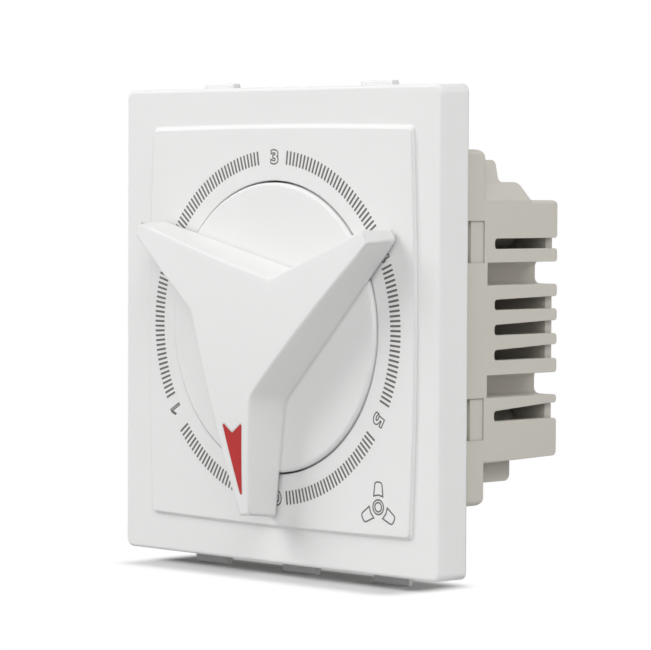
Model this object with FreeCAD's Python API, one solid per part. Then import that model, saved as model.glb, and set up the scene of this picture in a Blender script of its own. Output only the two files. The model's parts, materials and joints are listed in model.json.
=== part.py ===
import FreeCAD, Part
import math
import os

os.makedirs("parts", exist_ok=True)

# Fan speed control switch, in millimetres and degrees.
# X runs to the right and Z up, seen from the front, and Y runs into the wall.
# The origin is on the knob's axis, in the rear plane of the front plate.

# Front plate
PLATE_WIDTH = 46.0
PLATE_HEIGHT = 48.0
PLATE_THICKNESS = 3.37
PLATE_FLARE = 0.42          # each side stands out by this at the rear
PLATE_CORNER = 0.9
PLATE_EDGE_ROUND = 0.35
PANEL_SIDE_MARGIN = 4.05    # from the plate's front edge to the panel's top corner
PANEL_END_MARGIN = 3.9
PANEL_RISE = 0.38
PANEL_SLOPE = 0.8           # width of the panel's sloped border
PANEL_SIDE_BOW = 0.55
PANEL_END_BOW = 0.2
PANEL_CORNER = 1.6
RECESS_FLOOR = 1.3          # wall left behind the knob
RECESS_WALL = 1.2
CORE_DEPTH = 1.5            # hollows moulded in the plate's back
CORE_CORNER = 0.8
CHANNEL_ROUND_SHARE = 0.25  # corner radius as a share of the channel's height
SEAT_WIDTH = 2.4            # rib that the housing's rim stands on
SKIRT = 1.6
TOP_TAB_PITCH = 23.1
TOP_TAB_WIDTH = 4.4
TOP_TAB_REACH = 0.7
FOOT_TAB_PITCH = 13.2
FOOT_TAB_WIDTH = 4.9
FOOT_TAB_REACH = 0.88
TAB_LENGTH = 1.6
TAB_ROUND = 0.35
SNAP_PITCH = 17.5           # between the two snap arms of one side
SNAP_WIDTH = 3.4
SNAP_THICKNESS = 1.0
SNAP_LENGTH = 2.7
SNAP_PIP_RADIUS = 1.3
SNAP_PIP_RISE = 0.6
SNAP_CLEARANCE = 0.1

# Knob
DISC_RADIUS = 14.7
DISC_GAP = 0.2              # between the disc and its recess
DISC_RISE = 0.4             # disc face in front of the panel
DISC_EDGE_ROUND = 0.35
DISC_WEB = 1.2
FLOOR_GAP = 0.3             # behind the disc
LEVER_REACHES = (19.25, 19.35, 19.95)    # axis to tip of the lower, left and right arm
LEVER_TIP_WIDTH = 1.3
LEVER_TIP_TAPER = 1.2       # loss of tip width for each millimetre of draft
LEVER_TIP_ROUND = 0.4
LEVER_LEADS = (-0.55, 1.3, 0.9)          # each tip runs ahead of its third of a turn by this angle
LEVER_NOTCH_RADIUS = 7.7
LEVER_NOTCH_LAG = 16.8
LEVER_NOTCH_ROUND = 2.5
LEVER_HEIGHT = 5.35         # crown of the dome in front of the panel
LEVER_DRAFT = 8.0
LEVER_WALL = 1.4
LEVER_EDGE_ROUND = 0.2
HOLLOW_TIP_INSET = 4.0
HOLLOW_TIP_WIDTH = 0.6
DOME_RADIUS = 150.0
HUB_RADIUS = 4.7
HUB_HOLE_GAP = 0.3
HUB_REACH = 0.4             # hub behind the plate's rear plane
POINTER_OFFSET = -0.77
POINTER_TIP_OFFSET = 0.05
POINTER_TOP = -9.4
POINTER_TIP = -17.4
POINTER_WIDTH = 2.95
POINTER_NOTCH = 1.1
POINTER_DEPTH = 0.4
POINTER_ROUND = 0.15

# Rear housing
HOUSING_INSET = 1.5         # housing side inside the plate's front edge
HOUSING_DEPTH = 15.15
HOUSING_HEIGHT = 26.1
HOUSING_CORNER = 0.4
HOUSING_EDGE_ROUND = 0.5
HOUSING_BOTTOM_DRAFT = 0.4  # rise of the underside towards the rear
HOUSING_LIP_ROUND = 0.35    # at the rear end of every rib
SIDE_MIDDLE = 0.2           # height about which the windows, vents and grooves are set
HOUSING_WALL = 1.2
REAR_WALL = 0.95
FLANGE_DEPTH = 4.45
FLANGE_TOP = 18.05
FLANGE_BOTTOM = 17.1
FLANGE_CORNER = 0.6
FLANGE_EDGE_ROUND = 0.9
HUMP_LEDGE = 14.85
HUMP_REAR = 11.2
HUMP_TOP = 17.05
HUMP_STEP = 8.35
HUMP_ROUND = 0.5
SILL_BOTTOM = 15.1
SILL_REAR = 10.65
SILL_INSET = 2.2
SILL_ROUND = 0.7
VENT_FRONT = 5.95
VENT_HEIGHT = 1.05
VENT_PITCH = 2.5
VENT_OUTER = 8.55
VENT_SPLAY = 0.03           # rise of a vent's rear for each millimetre below the top vent
VENT_ROUND = 0.35
VENT_NOTCH = 0.7
GROOVE_PITCH = 11.14
GROOVE_HEIGHT = 2.25
GROOVE_DEPTH = 3.0
GROOVE_FRONT = 4.9
GROOVE_ROUND = 0.6
GROOVE_WALL = 1.0
WINDOW_FRONT = 0.3
WINDOW_REAR = 2.6
WINDOW_HEIGHT = 4.15
PAD_RELIEF = 0.12           # lead-in behind each window
POST_RADIUS = 1.6
POST_SIDE_EDGE = 1.6        # from a post's axis to the board's side
POST_END_EDGE = 1.8
POST_GAP = 0.4              # between the posts and the pieces on the board

# Rotary switch
BASE_WIDTH = 23.0
BASE_HEIGHT = 20.8
BASE_DEPTH = 4.0
BASE_WALL = 1.4
BASE_CORNER = 1.5
BASE_CHAMBER = 9.3
BUSH_GAP = 0.3              # between the knob's hub and the bush
BUSH_FLANGE = 0.5
BUSH_FLANGE_RADIUS = 5.0
BUSH_RADIUS = 4.0
SHAFT_RADIUS = 3.0
SHAFT_FLAT = 2.2            # from the axis to the flat
SHAFT_FRONT = 6.4           # shaft end in front of the plate's rear plane
PIVOT_RADIUS = 2.0
RUNNING_GAP = 0.05
PUSH_GAP = 0.02
POSITIONS = 6
STEP_ANGLE = 60.0
ROTOR_GAP = 0.1
HUB_PLATE = 0.8             # rotor's front plate, which carries the stop lug
HUB_PLATE_RADIUS = 6.8
STOP_LUG_RADIUS = 8.8
STOP_LUG_HALF_ANGLE = 10.0
STOP_POST_RADIUS = 7.2
STOP_PLAY = 0.5
STAR_THICKNESS = 0.9
STAR_LOBE = 8.2
STAR_VALLEY = 7.3
STAR_ROUND = 1.0
SPRING_THICKNESS = 0.2
SPRING_NOSE_HALF = 0.9
SPRING_NOSE_GAP = 0.05
SPRING_SHOULDER = 8.7
SPRING_HALF_SPAN = 7.8
SPRING_POCKET = 9.6         # from the axis to the pocket's outer wall
SPRING_SIDE_GAP = 0.1
WIPER_THICKNESS = 0.2
WIPER_RING = 5.0
WIPER_GAP = 0.1
WIPER_NOSE = 0.9
CONTACT_CIRCLE = 6.0
CONTACT_RADIUS = 0.9
CONTACT_HEIGHT = 0.2
CONTACT_TAIL = 0.5
TAIL_GAP = 0.1
TAIL_REACH = 0.5            # tails stand out of the board's back
COMMON_OUTER = 4.3
COMMON_INNER = 2.7
WAFER_THICKNESS = 0.8
RIVET_EDGE = 1.6            # from a rivet's axis to the sides of the base
RIVET_RADIUS = 0.7
RIVET_HEAD_RADIUS = 1.2
RIVET_HEAD = 0.4

# Circuit board and what it carries
BOARD_SIDE_GAP = 0.7
BOARD_END_GAP = 0.45
BOARD_THICKNESS = 1.2
BOARD_CORNER = 1.0
COMPONENT_STANDOFF = 0.8
LEG_RADIUS = 0.35
LEG_BURIED = 0.1            # legs of the rear pieces stop short of the board's front
LARGE_CAPACITOR_DEPTH = 6.0
SMALL_CAPACITOR_DEPTH = 5.0
LARGE_CAPACITOR_SHARE = 0.5635    # of the width that both fill
CAPACITOR_GAP = 1.2
CAPACITOR_FLOOR_GAP = 0.85
CAPACITOR_ROOF_GAP = 0.3
CAPACITOR_ROUND = 0.8
CAPACITOR_LEG_INSET = 2.2
BLEED_GAP = 0.3             # to the switch base
BLEED_RADIUS = 1.15
BLEED_LENGTH = 6.4
SURGE_RADIUS = 1.4
SURGE_LENGTH = 6.0
SURGE_DROP = 2.3            # below the top of the terminals
RESISTOR_COLLAR = 0.9       # from a body's end to its bent leg
LEAD_BEND = 0.5
RESISTOR_ROUND = 0.4
TERMINAL_WIDTH = 6.4
TERMINAL_LENGTH = 6.2
TERMINAL_HEIGHT = 6.1
TERMINAL_ROOF_GAP = 0.25
TERMINAL_ROUND = 0.4
WIRE_RISE = 2.5             # bore above the underside of its terminal
WIRE_RADIUS = 1.6
WIRE_ENTRY_RADIUS = 2.1
SCREW_SHANK = 1.25
SCREW_HEAD_RADIUS = 1.8
SCREW_HEAD = 1.0
SCREW_SLOT_WIDTH = 0.5
SCREW_SLOT_DEPTH = 0.45
SCREW_ACCESS_GAP = 0.2
BOARD_SCREW_SHANK = 0.9
BOARD_SCREW_HEAD_RADIUS = 1.5
BOARD_SCREW_HEAD = 1.0
BOARD_SCREW_LENGTH = 4.0

# Places that follow from the sizes above
PANEL_FACE = -(PLATE_THICKNESS + PANEL_RISE)
DISC_FACE = PANEL_FACE - DISC_RISE
DISC_BACK = -RECESS_FLOOR - FLOOR_GAP
DOME_CENTRE = PANEL_FACE - LEVER_HEIGHT + DOME_RADIUS
HUB_HOLE = HUB_RADIUS + HUB_HOLE_GAP
REAR_HALF_WIDTH = PLATE_WIDTH / 2 + PLATE_FLARE
REAR_HALF_HEIGHT = PLATE_HEIGHT / 2 + PLATE_FLARE
HOUSING_SIDE = PLATE_WIDTH / 2 - HOUSING_INSET
HOUSING_TOP = HOUSING_HEIGHT / 2
CAVITY_SIDE = HOUSING_SIDE - HOUSING_WALL
CAVITY_REAR = HOUSING_DEPTH - REAR_WALL
BASE_FRONT = HUB_REACH + BUSH_GAP + BUSH_FLANGE
BASE_REAR = BASE_FRONT + BASE_DEPTH
CHAMBER_FRONT = BASE_FRONT + BASE_WALL
ROTOR_FRONT = CHAMBER_FRONT + ROTOR_GAP
STAR_FRONT = ROTOR_FRONT + HUB_PLATE
ROTOR_REAR = STAR_FRONT + STAR_THICKNESS
CONTACT_FACE = BASE_REAR - CONTACT_HEIGHT
BOARD_FRONT = BASE_REAR + WAFER_THICKNESS
BOARD_REAR = BOARD_FRONT + BOARD_THICKNESS
TAIL_END = BOARD_REAR + TAIL_REACH
BOARD_HALF_WIDTH = HOUSING_SIDE - GROOVE_DEPTH - GROOVE_WALL - BOARD_SIDE_GAP
BOARD_HALF_HEIGHT = HOUSING_TOP - HOUSING_WALL - BOARD_END_GAP
POST_X = BOARD_HALF_WIDTH - POST_SIDE_EDGE
POST_Z = BOARD_HALF_HEIGHT - POST_END_EDGE
PACK_SIDE = POST_X - POST_RADIUS - POST_GAP
TERMINAL_OFFSET = PACK_SIDE - TERMINAL_WIDTH / 2
TERMINAL_TOP = HOUSING_TOP - HOUSING_WALL - TERMINAL_ROOF_GAP
TERMINAL_BOTTOM = TERMINAL_TOP - TERMINAL_HEIGHT
WIRE_HEIGHT = TERMINAL_BOTTOM + WIRE_RISE
SURGE_HEIGHT = TERMINAL_TOP - SURGE_DROP
CAPACITOR_TOP = TERMINAL_BOTTOM - CAPACITOR_ROOF_GAP
CAPACITOR_BOTTOM = HOUSING_WALL - HOUSING_TOP + HOUSING_BOTTOM_DRAFT + CAPACITOR_FLOOR_GAP
BLEED_OFFSET = BASE_WIDTH / 2 + BLEED_GAP + BLEED_RADIUS
TERMINAL_MIDDLE = BOARD_REAR + TERMINAL_LENGTH / 2
OVERCUT = 1.0               # how far a cutting tool runs past a face


# Shapes shared by the pieces

def at_y(y):
    """Place plan points (x, z) in the plane at y."""
    return lambda x, z: FreeCAD.Vector(x, y, z)


def at_x(x):
    """Place profile points (y, z) in the plane at x."""
    return lambda y, z: FreeCAD.Vector(x, y, z)


def clock_point(radius, clock):
    """Plan point at an angle counted clockwise from the bottom, seen from the front."""
    turn = math.radians(clock)
    return -radius * math.sin(turn), -radius * math.cos(turn)


def block(x0, x1, y0, y1, z0, z1):
    """Box between two corners."""
    return Part.makeBox(x1 - x0, y1 - y0, z1 - z0, FreeCAD.Vector(x0, y0, z0))


def rod(radius, y0, y1, x=0.0, z=0.0):
    """Round bar along Y."""
    return Part.makeCylinder(radius, y1 - y0, FreeCAD.Vector(x, y0, z), FreeCAD.Vector(0, 1, 0))


def tube(outer, inner, y0, y1):
    """Ring along Y about the knob's axis."""
    return rod(outer, y0, y1).cut(rod(inner, y0 - OVERCUT, y1 + OVERCUT))


def rounded_outline(corners, place):
    """Closed wire through corners (a, b, radius), with a tangent arc at each."""
    points = [place(a, b) for a, b, radius in corners]
    bends = []
    for index, (a, b, radius) in enumerate(corners):
        corner = points[index]
        back = (points[index - 1] - corner).normalize()
        ahead = (points[(index + 1) % len(points)] - corner).normalize()
        half = back.getAngle(ahead) / 2
        middle = (back + ahead).normalize()
        start = corner + back * (radius / math.tan(half))
        end = corner + ahead * (radius / math.tan(half))
        crown = corner + middle * (radius / math.sin(half) - radius)
        bends.append((start, crown, end))
    edges = []
    for index, (start, crown, end) in enumerate(bends):
        if start.distanceToPoint(end) > 1e-6:
            edges.append(Part.Arc(start, crown, end).toShape())
        edges.append(Part.LineSegment(end, bends[(index + 1) % len(bends)][0]).toShape())
    return Part.Wire(edges)


def rectangle(left, right, low, high, corner, place):
    """Closed wire of a rectangle with round corners."""
    return rounded_outline(
        [(left, low, corner), (right, low, corner), (right, high, corner), (left, high, corner)], place)


def along_y(wire, length):
    """Solid from a plan wire pushed along Y."""
    return Part.Face(wire).extrude(FreeCAD.Vector(0, length, 0))


def along_x(wire, length):
    """Solid from a profile wire pushed along X."""
    return Part.Face(wire).extrude(FreeCAD.Vector(length, 0, 0))


def loft(first, second):
    """Solid with straight sides between two wires of the same make."""
    return Part.makeLoft([first, second], True, True)


def edges_at(shape, y):
    """Edges that lie in the plane at y."""
    return [edge for edge in shape.Edges if all(abs(vertex.Y - y) < 1e-6 for vertex in edge.Vertexes)]


def mirrored(shape):
    """The same shape on the other side, left for right."""
    return shape.mirror(FreeCAD.Vector(0, 0, 0), FreeCAD.Vector(1, 0, 0))


def on_both_sides(shapes):
    """Shapes of the right side and their mirror images."""
    return list(shapes) + [mirrored(shape) for shape in shapes]


def clean(shape):
    """Shape with the seams between merged faces taken out."""
    return shape.removeSplitter()


# Front plate

def bowed_outline(half_width, half_height, place):
    """Wire of the raised panel: four sides that bulge, joined by round corners."""
    reach_x = half_width - PANEL_CORNER
    reach_z = half_height - PANEL_CORNER
    tuck = PANEL_CORNER * (1 - math.sqrt(0.5))
    corners = [(1, 1), (1, -1), (-1, -1), (-1, 1)]
    edges = []
    for index, (sx, sz) in enumerate(corners):
        on_end = place(sx * reach_x, sz * half_height)
        on_side = place(sx * half_width, sz * reach_z)
        crown = place(sx * (half_width - tuck), sz * (half_height - tuck))
        first, last = (on_end, on_side) if sx == sz else (on_side, on_end)
        edges.append(Part.Arc(first, crown, last).toShape())
        next_sx, next_sz = corners[(index + 1) % len(corners)]
        if next_sx == sx:
            middle = place(sx * (half_width + PANEL_SIDE_BOW), 0)
            target = place(sx * half_width, next_sz * reach_z)
        else:
            middle = place(0, sz * (half_height + PANEL_END_BOW))
            target = place(next_sx * reach_x, sz * half_height)
        edges.append(Part.Arc(last, middle, target).toShape())
    return Part.Wire(edges)


def plate_body():
    """Plate with its flared sides, rounded front edge and raised panel."""
    rear = rectangle(-REAR_HALF_WIDTH, REAR_HALF_WIDTH, -REAR_HALF_HEIGHT, REAR_HALF_HEIGHT,
                     PLATE_CORNER, at_y(0))
    front = rectangle(-PLATE_WIDTH / 2, PLATE_WIDTH / 2, -PLATE_HEIGHT / 2, PLATE_HEIGHT / 2,
                      PLATE_CORNER, at_y(-PLATE_THICKNESS))
    body = loft(rear, front)
    body = body.makeFillet(PLATE_EDGE_ROUND, edges_at(body, -PLATE_THICKNESS))
    half_width = PLATE_WIDTH / 2 - PANEL_SIDE_MARGIN
    half_height = PLATE_HEIGHT / 2 - PANEL_END_MARGIN
    foot = bowed_outline(half_width + PANEL_SLOPE, half_height + PANEL_SLOPE, at_y(-PLATE_THICKNESS))
    face = bowed_outline(half_width, half_height, at_y(PANEL_FACE))
    return body.fuse(loft(foot, face))


def plate_channel(low, high):
    """Long hollow across the plate's back."""
    side = REAR_HALF_WIDTH - SKIRT
    outline = rectangle(-side, side, low, high, CHANNEL_ROUND_SHARE * (high - low), at_y(-CORE_DEPTH))
    return along_y(outline, CORE_DEPTH + OVERCUT)


def plate_hollows():
    """Hollows in the plate's back: corners inside the housing, channels above and below it."""
    seat_side = CAVITY_SIDE - SNAP_CLEARANCE - SNAP_THICKNESS - CORE_CORNER
    cup = rod(DISC_RADIUS + DISC_GAP + RECESS_WALL, -CORE_DEPTH - OVERCUT, OVERCUT)
    corners = along_y(rectangle(-seat_side, seat_side, HOUSING_WALL - FLANGE_BOTTOM + CORE_CORNER,
                                FLANGE_TOP - HOUSING_WALL - CORE_CORNER, CORE_CORNER,
                                at_y(-CORE_DEPTH)), CORE_DEPTH + OVERCUT).cut(cup)
    channel_end = REAR_HALF_HEIGHT - SKIRT
    upper = plate_channel(FLANGE_TOP - HOUSING_WALL + SEAT_WIDTH, channel_end)
    lower = plate_channel(-channel_end, HOUSING_WALL - FLANGE_BOTTOM - SEAT_WIDTH)
    return [corners, upper, lower]


def frame_tab(x, width, reach, side):
    """Snap tab behind the plate's rim that grips the mounting frame; side is 1 for top, -1 for bottom."""
    root = side * (REAR_HALF_HEIGHT - SKIRT)
    tip = side * (REAR_HALF_HEIGHT + reach)
    profile = rounded_outline(
        [(0, root, 0), (TAB_LENGTH, root, TAB_ROUND), (TAB_LENGTH, tip, TAB_ROUND), (0, tip, TAB_ROUND / 2)],
        at_x(x - width / 2))
    return along_x(profile, width)


def snap_heights():
    """Heights of the two snap arms of one side."""
    return SIDE_MIDDLE - SNAP_PITCH / 2, SIDE_MIDDLE + SNAP_PITCH / 2


def snap_arm(z):
    """Arm with a round pip that clicks into a window of the housing's right side."""
    outer = CAVITY_SIDE - SNAP_CLEARANCE
    middle = (WINDOW_FRONT + WINDOW_REAR) / 2
    arm = block(outer - SNAP_THICKNESS, outer, -CORE_DEPTH, SNAP_LENGTH, z - SNAP_WIDTH / 2, z + SNAP_WIDTH / 2)
    pip = Part.makeSphere(SNAP_PIP_RADIUS, FreeCAD.Vector(outer - SNAP_PIP_RADIUS + SNAP_PIP_RISE, middle, z))
    return arm.fuse(pip.common(block(outer - SNAP_THICKNESS / 2, outer + SNAP_PIP_RADIUS, 0, SNAP_LENGTH,
                                     z - SNAP_PIP_RADIUS, z + SNAP_PIP_RADIUS)))


def front_plate():
    """White cover plate: panel, round recess for the knob, tabs for the frame and snap arms."""
    plate = plate_body()
    plate = plate.cut(rod(DISC_RADIUS + DISC_GAP, PANEL_FACE - OVERCUT, -RECESS_FLOOR))
    plate = plate.cut(rod(HUB_HOLE, -RECESS_FLOOR - OVERCUT, OVERCUT))
    plate = plate.cut(plate_hollows())
    tabs = [frame_tab(side * TOP_TAB_PITCH / 2, TOP_TAB_WIDTH, TOP_TAB_REACH, 1) for side in (-1, 1)]
    tabs += [frame_tab(place * FOOT_TAB_PITCH, FOOT_TAB_WIDTH, FOOT_TAB_REACH, -1) for place in (-1, 0, 1)]
    arms = on_both_sides([snap_arm(z) for z in snap_heights()])
    return clean(plate.fuse(tabs + arms))


# Knob

def lever_outline(notch_radius, tip_inset, tip_width, y):
    """Pinwheel of the lever's arms: every arm has one long and one short side."""
    tip_round = min(LEVER_TIP_ROUND, 0.45 * tip_width)
    corners = []
    for arm, (reach, lead) in enumerate(zip(LEVER_REACHES, LEVER_LEADS)):
        turn = arm * 360.0 / len(LEVER_REACHES)
        notch_x, notch_z = clock_point(notch_radius, turn - LEVER_NOTCH_LAG)
        corners.append((notch_x, notch_z, LEVER_NOTCH_ROUND))
        tip_radius = reach - tip_inset
        spread = math.degrees(math.atan(tip_width / 2 / tip_radius))
        for side in (-1, 1):
            tip_x, tip_z = clock_point(math.hypot(tip_radius, tip_width / 2), turn + lead + side * spread)
            corners.append((tip_x, tip_z, tip_round))
    return rounded_outline(corners, at_y(y))


def dome(inset):
    """Ball whose front is the lever's crowned face, less an inset."""
    return Part.makeSphere(DOME_RADIUS - inset, FreeCAD.Vector(0, DOME_CENTRE, 0))


def lever():
    """Drafted lever under its dome."""
    crown = PANEL_FACE - LEVER_HEIGHT - OVERCUT
    taper = (DISC_FACE - crown) * math.tan(math.radians(LEVER_DRAFT))
    foot = lever_outline(LEVER_NOTCH_RADIUS, 0, LEVER_TIP_WIDTH, DISC_FACE)
    top = lever_outline(LEVER_NOTCH_RADIUS - taper, taper, LEVER_TIP_WIDTH - LEVER_TIP_TAPER * taper, crown)
    return loft(foot, top).common(dome(0))


def lever_hollow():
    """Hollow inside the lever's walls, open to the back of the disc."""
    front = PANEL_FACE - LEVER_HEIGHT
    outline = lever_outline(LEVER_NOTCH_RADIUS - LEVER_WALL, HOLLOW_TIP_INSET, HOLLOW_TIP_WIDTH, front)
    return along_y(outline, DISC_FACE + DISC_WEB - front).common(dome(LEVER_WALL))


def crown_edges(shape):
    """Edges between the lever's sides and its dome."""
    centre = FreeCAD.Vector(0, DOME_CENTRE, 0)
    return [edge for edge in shape.Edges
            if all(abs(vertex.Point.distanceToPoint(centre) - DOME_RADIUS) < 1e-4 for vertex in edge.Vertexes)]


def pointer_prism(front):
    """Arrow outline of the pointer, pushed through the lever's face."""
    left = POINTER_OFFSET - POINTER_WIDTH / 2
    right = POINTER_OFFSET + POINTER_WIDTH / 2
    outline = rounded_outline(
        [(left, POINTER_TOP, POINTER_ROUND), (POINTER_OFFSET, POINTER_TOP - POINTER_NOTCH, POINTER_ROUND),
         (right, POINTER_TOP, POINTER_ROUND), (POINTER_TIP_OFFSET, POINTER_TIP, POINTER_ROUND)], at_y(front))
    return along_y(outline, DISC_FACE - front)


def pointer_inlay():
    """Red arrow set flush in the face of the lower arm."""
    prism = pointer_prism(PANEL_FACE - LEVER_HEIGHT - OVERCUT)
    return prism.common(dome(0)).cut(dome(POINTER_DEPTH))


def d_section(radius, flat, y0, y1):
    """Bar along Y with one flat on top."""
    return rod(radius, y0, y1).cut(block(-2 * radius, 2 * radius, y0 - OVERCUT, y1 + OVERCUT, flat, 2 * radius))


def knob():
    """White knob: disc, three-armed lever, hollow back and hub with a D bore."""
    disc = rod(DISC_RADIUS, DISC_FACE, DISC_BACK)
    disc = disc.makeFillet(DISC_EDGE_ROUND, edges_at(disc, DISC_FACE))
    handle = lever()
    handle = handle.makeFillet(LEVER_EDGE_ROUND, crown_edges(handle))
    web_back = DISC_FACE + DISC_WEB
    hollow_radius = DISC_RADIUS - DISC_WEB
    hollow = lever_hollow().common(rod(hollow_radius, PANEL_FACE - LEVER_HEIGHT, web_back))
    hollow = hollow.fuse(rod(hollow_radius, web_back, DISC_BACK))
    hollow = hollow.cut(rod(HUB_RADIUS, PANEL_FACE - LEVER_HEIGHT, DISC_BACK))
    body = disc.fuse(handle).cut(hollow)
    body = body.fuse(rod(HUB_RADIUS, DISC_FACE, HUB_REACH))
    body = body.cut(d_section(SHAFT_RADIUS + PUSH_GAP, SHAFT_FLAT + PUSH_GAP, -SHAFT_FRONT - PUSH_GAP,
                              HUB_REACH + OVERCUT))
    return clean(body.cut(pointer_inlay()))


# Rear housing

def rounded_box(side, low, high, rear, corner, rear_round, rise):
    """Box from the plate's rear plane, rounded along its four long edges and its upper and lower rear edges.

    The underside rises towards the rear.
    """
    plan = rectangle(-side, side, low, high, corner, at_y(0))
    profile = rounded_outline([(0, low, 0), (rear, low + rise, rear_round), (rear, high, rear_round), (0, high, 0)],
                              at_x(-side))
    return along_y(plan, rear).common(along_x(profile, 2 * side))


def housing_box(inset, rear):
    """Main part of the housing."""
    return rounded_box(HOUSING_SIDE - inset, inset - HOUSING_TOP, HOUSING_TOP - inset, rear,
                       HOUSING_CORNER, HOUSING_EDGE_ROUND, HOUSING_BOTTOM_DRAFT)


def housing_flange(inset, rear):
    """Tall collar at the housing's front."""
    return rounded_box(HOUSING_SIDE - inset, inset - FLANGE_BOTTOM, FLANGE_TOP - inset, rear,
                       FLANGE_CORNER, FLANGE_EDGE_ROUND, 0)


def hump(inset):
    """Stepped terminal cover on top of the housing, with ends that slope at 45 degrees."""
    side = HOUSING_SIDE - inset
    ledge = HUMP_LEDGE - inset
    top = HUMP_TOP - inset
    front = FLANGE_DEPTH / 2
    profile = rounded_outline(
        [(front, 0, 0), (HUMP_REAR - inset, 0, 0), (HUMP_REAR - inset, ledge, HUMP_ROUND),
         (HUMP_STEP - inset, ledge, HUMP_ROUND), (HUMP_STEP - inset, top, HUMP_ROUND), (front, top, 0)],
        at_x(-side))
    ledge_side = side - (ledge - HOUSING_TOP + inset)
    top_side = ledge_side - HUMP_ROUND
    ends = rounded_outline(
        [(-side, 0, 0), (side, 0, 0), (side, HOUSING_TOP - inset, 0), (ledge_side, ledge, 0), (top_side, top, 0),
         (-top_side, top, 0), (-ledge_side, ledge, 0), (-side, HOUSING_TOP - inset, 0)], at_y(0))
    return along_x(profile, 2 * side).common(along_y(ends, HOUSING_DEPTH))


def sill(inset):
    """Low block under the housing."""
    side = HOUSING_SIDE - SILL_INSET - inset
    profile = rounded_outline(
        [(FLANGE_DEPTH / 2, 0, 0), (FLANGE_DEPTH / 2, inset - SILL_BOTTOM, 0),
         (SILL_REAR - inset, inset - SILL_BOTTOM, SILL_ROUND), (SILL_REAR - inset, 0, 0)], at_x(-side))
    return along_x(profile, 2 * side)


def housing_mass(inset, flange_rear, box_rear):
    """Housing body as one lump: its outside, or with an inset its hollow."""
    return housing_flange(inset, flange_rear).fuse([housing_box(inset, box_rear), hump(inset), sill(inset)])


def rear_mouth(low, high, depth):
    """Cut where a slot leaves the right side at the rear, with round lips above and below."""
    lip = 2 * HOUSING_LIP_ROUND
    profile = rounded_outline(
        [(CAVITY_REAR, low, 0), (HOUSING_DEPTH, low, HOUSING_LIP_ROUND), (HOUSING_DEPTH, low - lip, 0),
         (HOUSING_DEPTH + OVERCUT, low - lip, 0), (HOUSING_DEPTH + OVERCUT, high + lip, 0),
         (HOUSING_DEPTH, high + lip, 0), (HOUSING_DEPTH, high, HOUSING_LIP_ROUND), (CAVITY_REAR, high, 0)],
        at_x(HOUSING_SIDE - depth))
    return along_x(profile, depth + OVERCUT)


def vent_slot(z):
    """Slot through the right side wall that ends as a shallow notch in the rear wall."""
    low = z - VENT_HEIGHT / 2
    high = z + VENT_HEIGHT / 2
    rear_high = high + VENT_SPLAY * (SIDE_MIDDLE + VENT_OUTER - z)
    profile = rounded_outline([(VENT_FRONT, low, VENT_ROUND), (CAVITY_REAR, low, 0), (CAVITY_REAR, rear_high, 0),
                               (VENT_FRONT, high, VENT_ROUND)], at_x(CAVITY_SIDE - OVERCUT))
    slot = along_x(profile, HOUSING_WALL + 2 * OVERCUT)
    return slot.fuse(rear_mouth(low, rear_high, VENT_NOTCH))


def groove_outline(z, wall, place):
    """Section of a side groove, or with a wall the outside of the trough that forms it."""
    floor = HOUSING_SIDE - GROOVE_DEPTH - wall
    half = GROOVE_HEIGHT / 2 + wall
    mouth = HOUSING_SIDE if wall else HOUSING_SIDE + OVERCUT
    return rounded_outline([(floor, z - half, GROOVE_ROUND), (mouth, z - half, 0), (mouth, z + half, 0),
                            (floor, z + half, GROOVE_ROUND)], place)


def snap_window(z):
    """Window for a snap pip, with a shallow lead-in behind it."""
    low = z - WINDOW_HEIGHT / 2
    high = z + WINDOW_HEIGHT / 2
    window = block(CAVITY_SIDE - OVERCUT, HOUSING_SIDE + OVERCUT, WINDOW_FRONT, WINDOW_REAR, low, high)
    relief = block(HOUSING_SIDE - PAD_RELIEF, HOUSING_SIDE + OVERCUT, WINDOW_REAR, FLANGE_DEPTH, low, high)
    return window.fuse(relief)


def board_posts():
    """Places (x, z) of the four posts that carry the board; the first two take screws."""
    return [(POST_X, -POST_Z), (-POST_X, POST_Z), (POST_X, POST_Z), (-POST_X, -POST_Z)]


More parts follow.
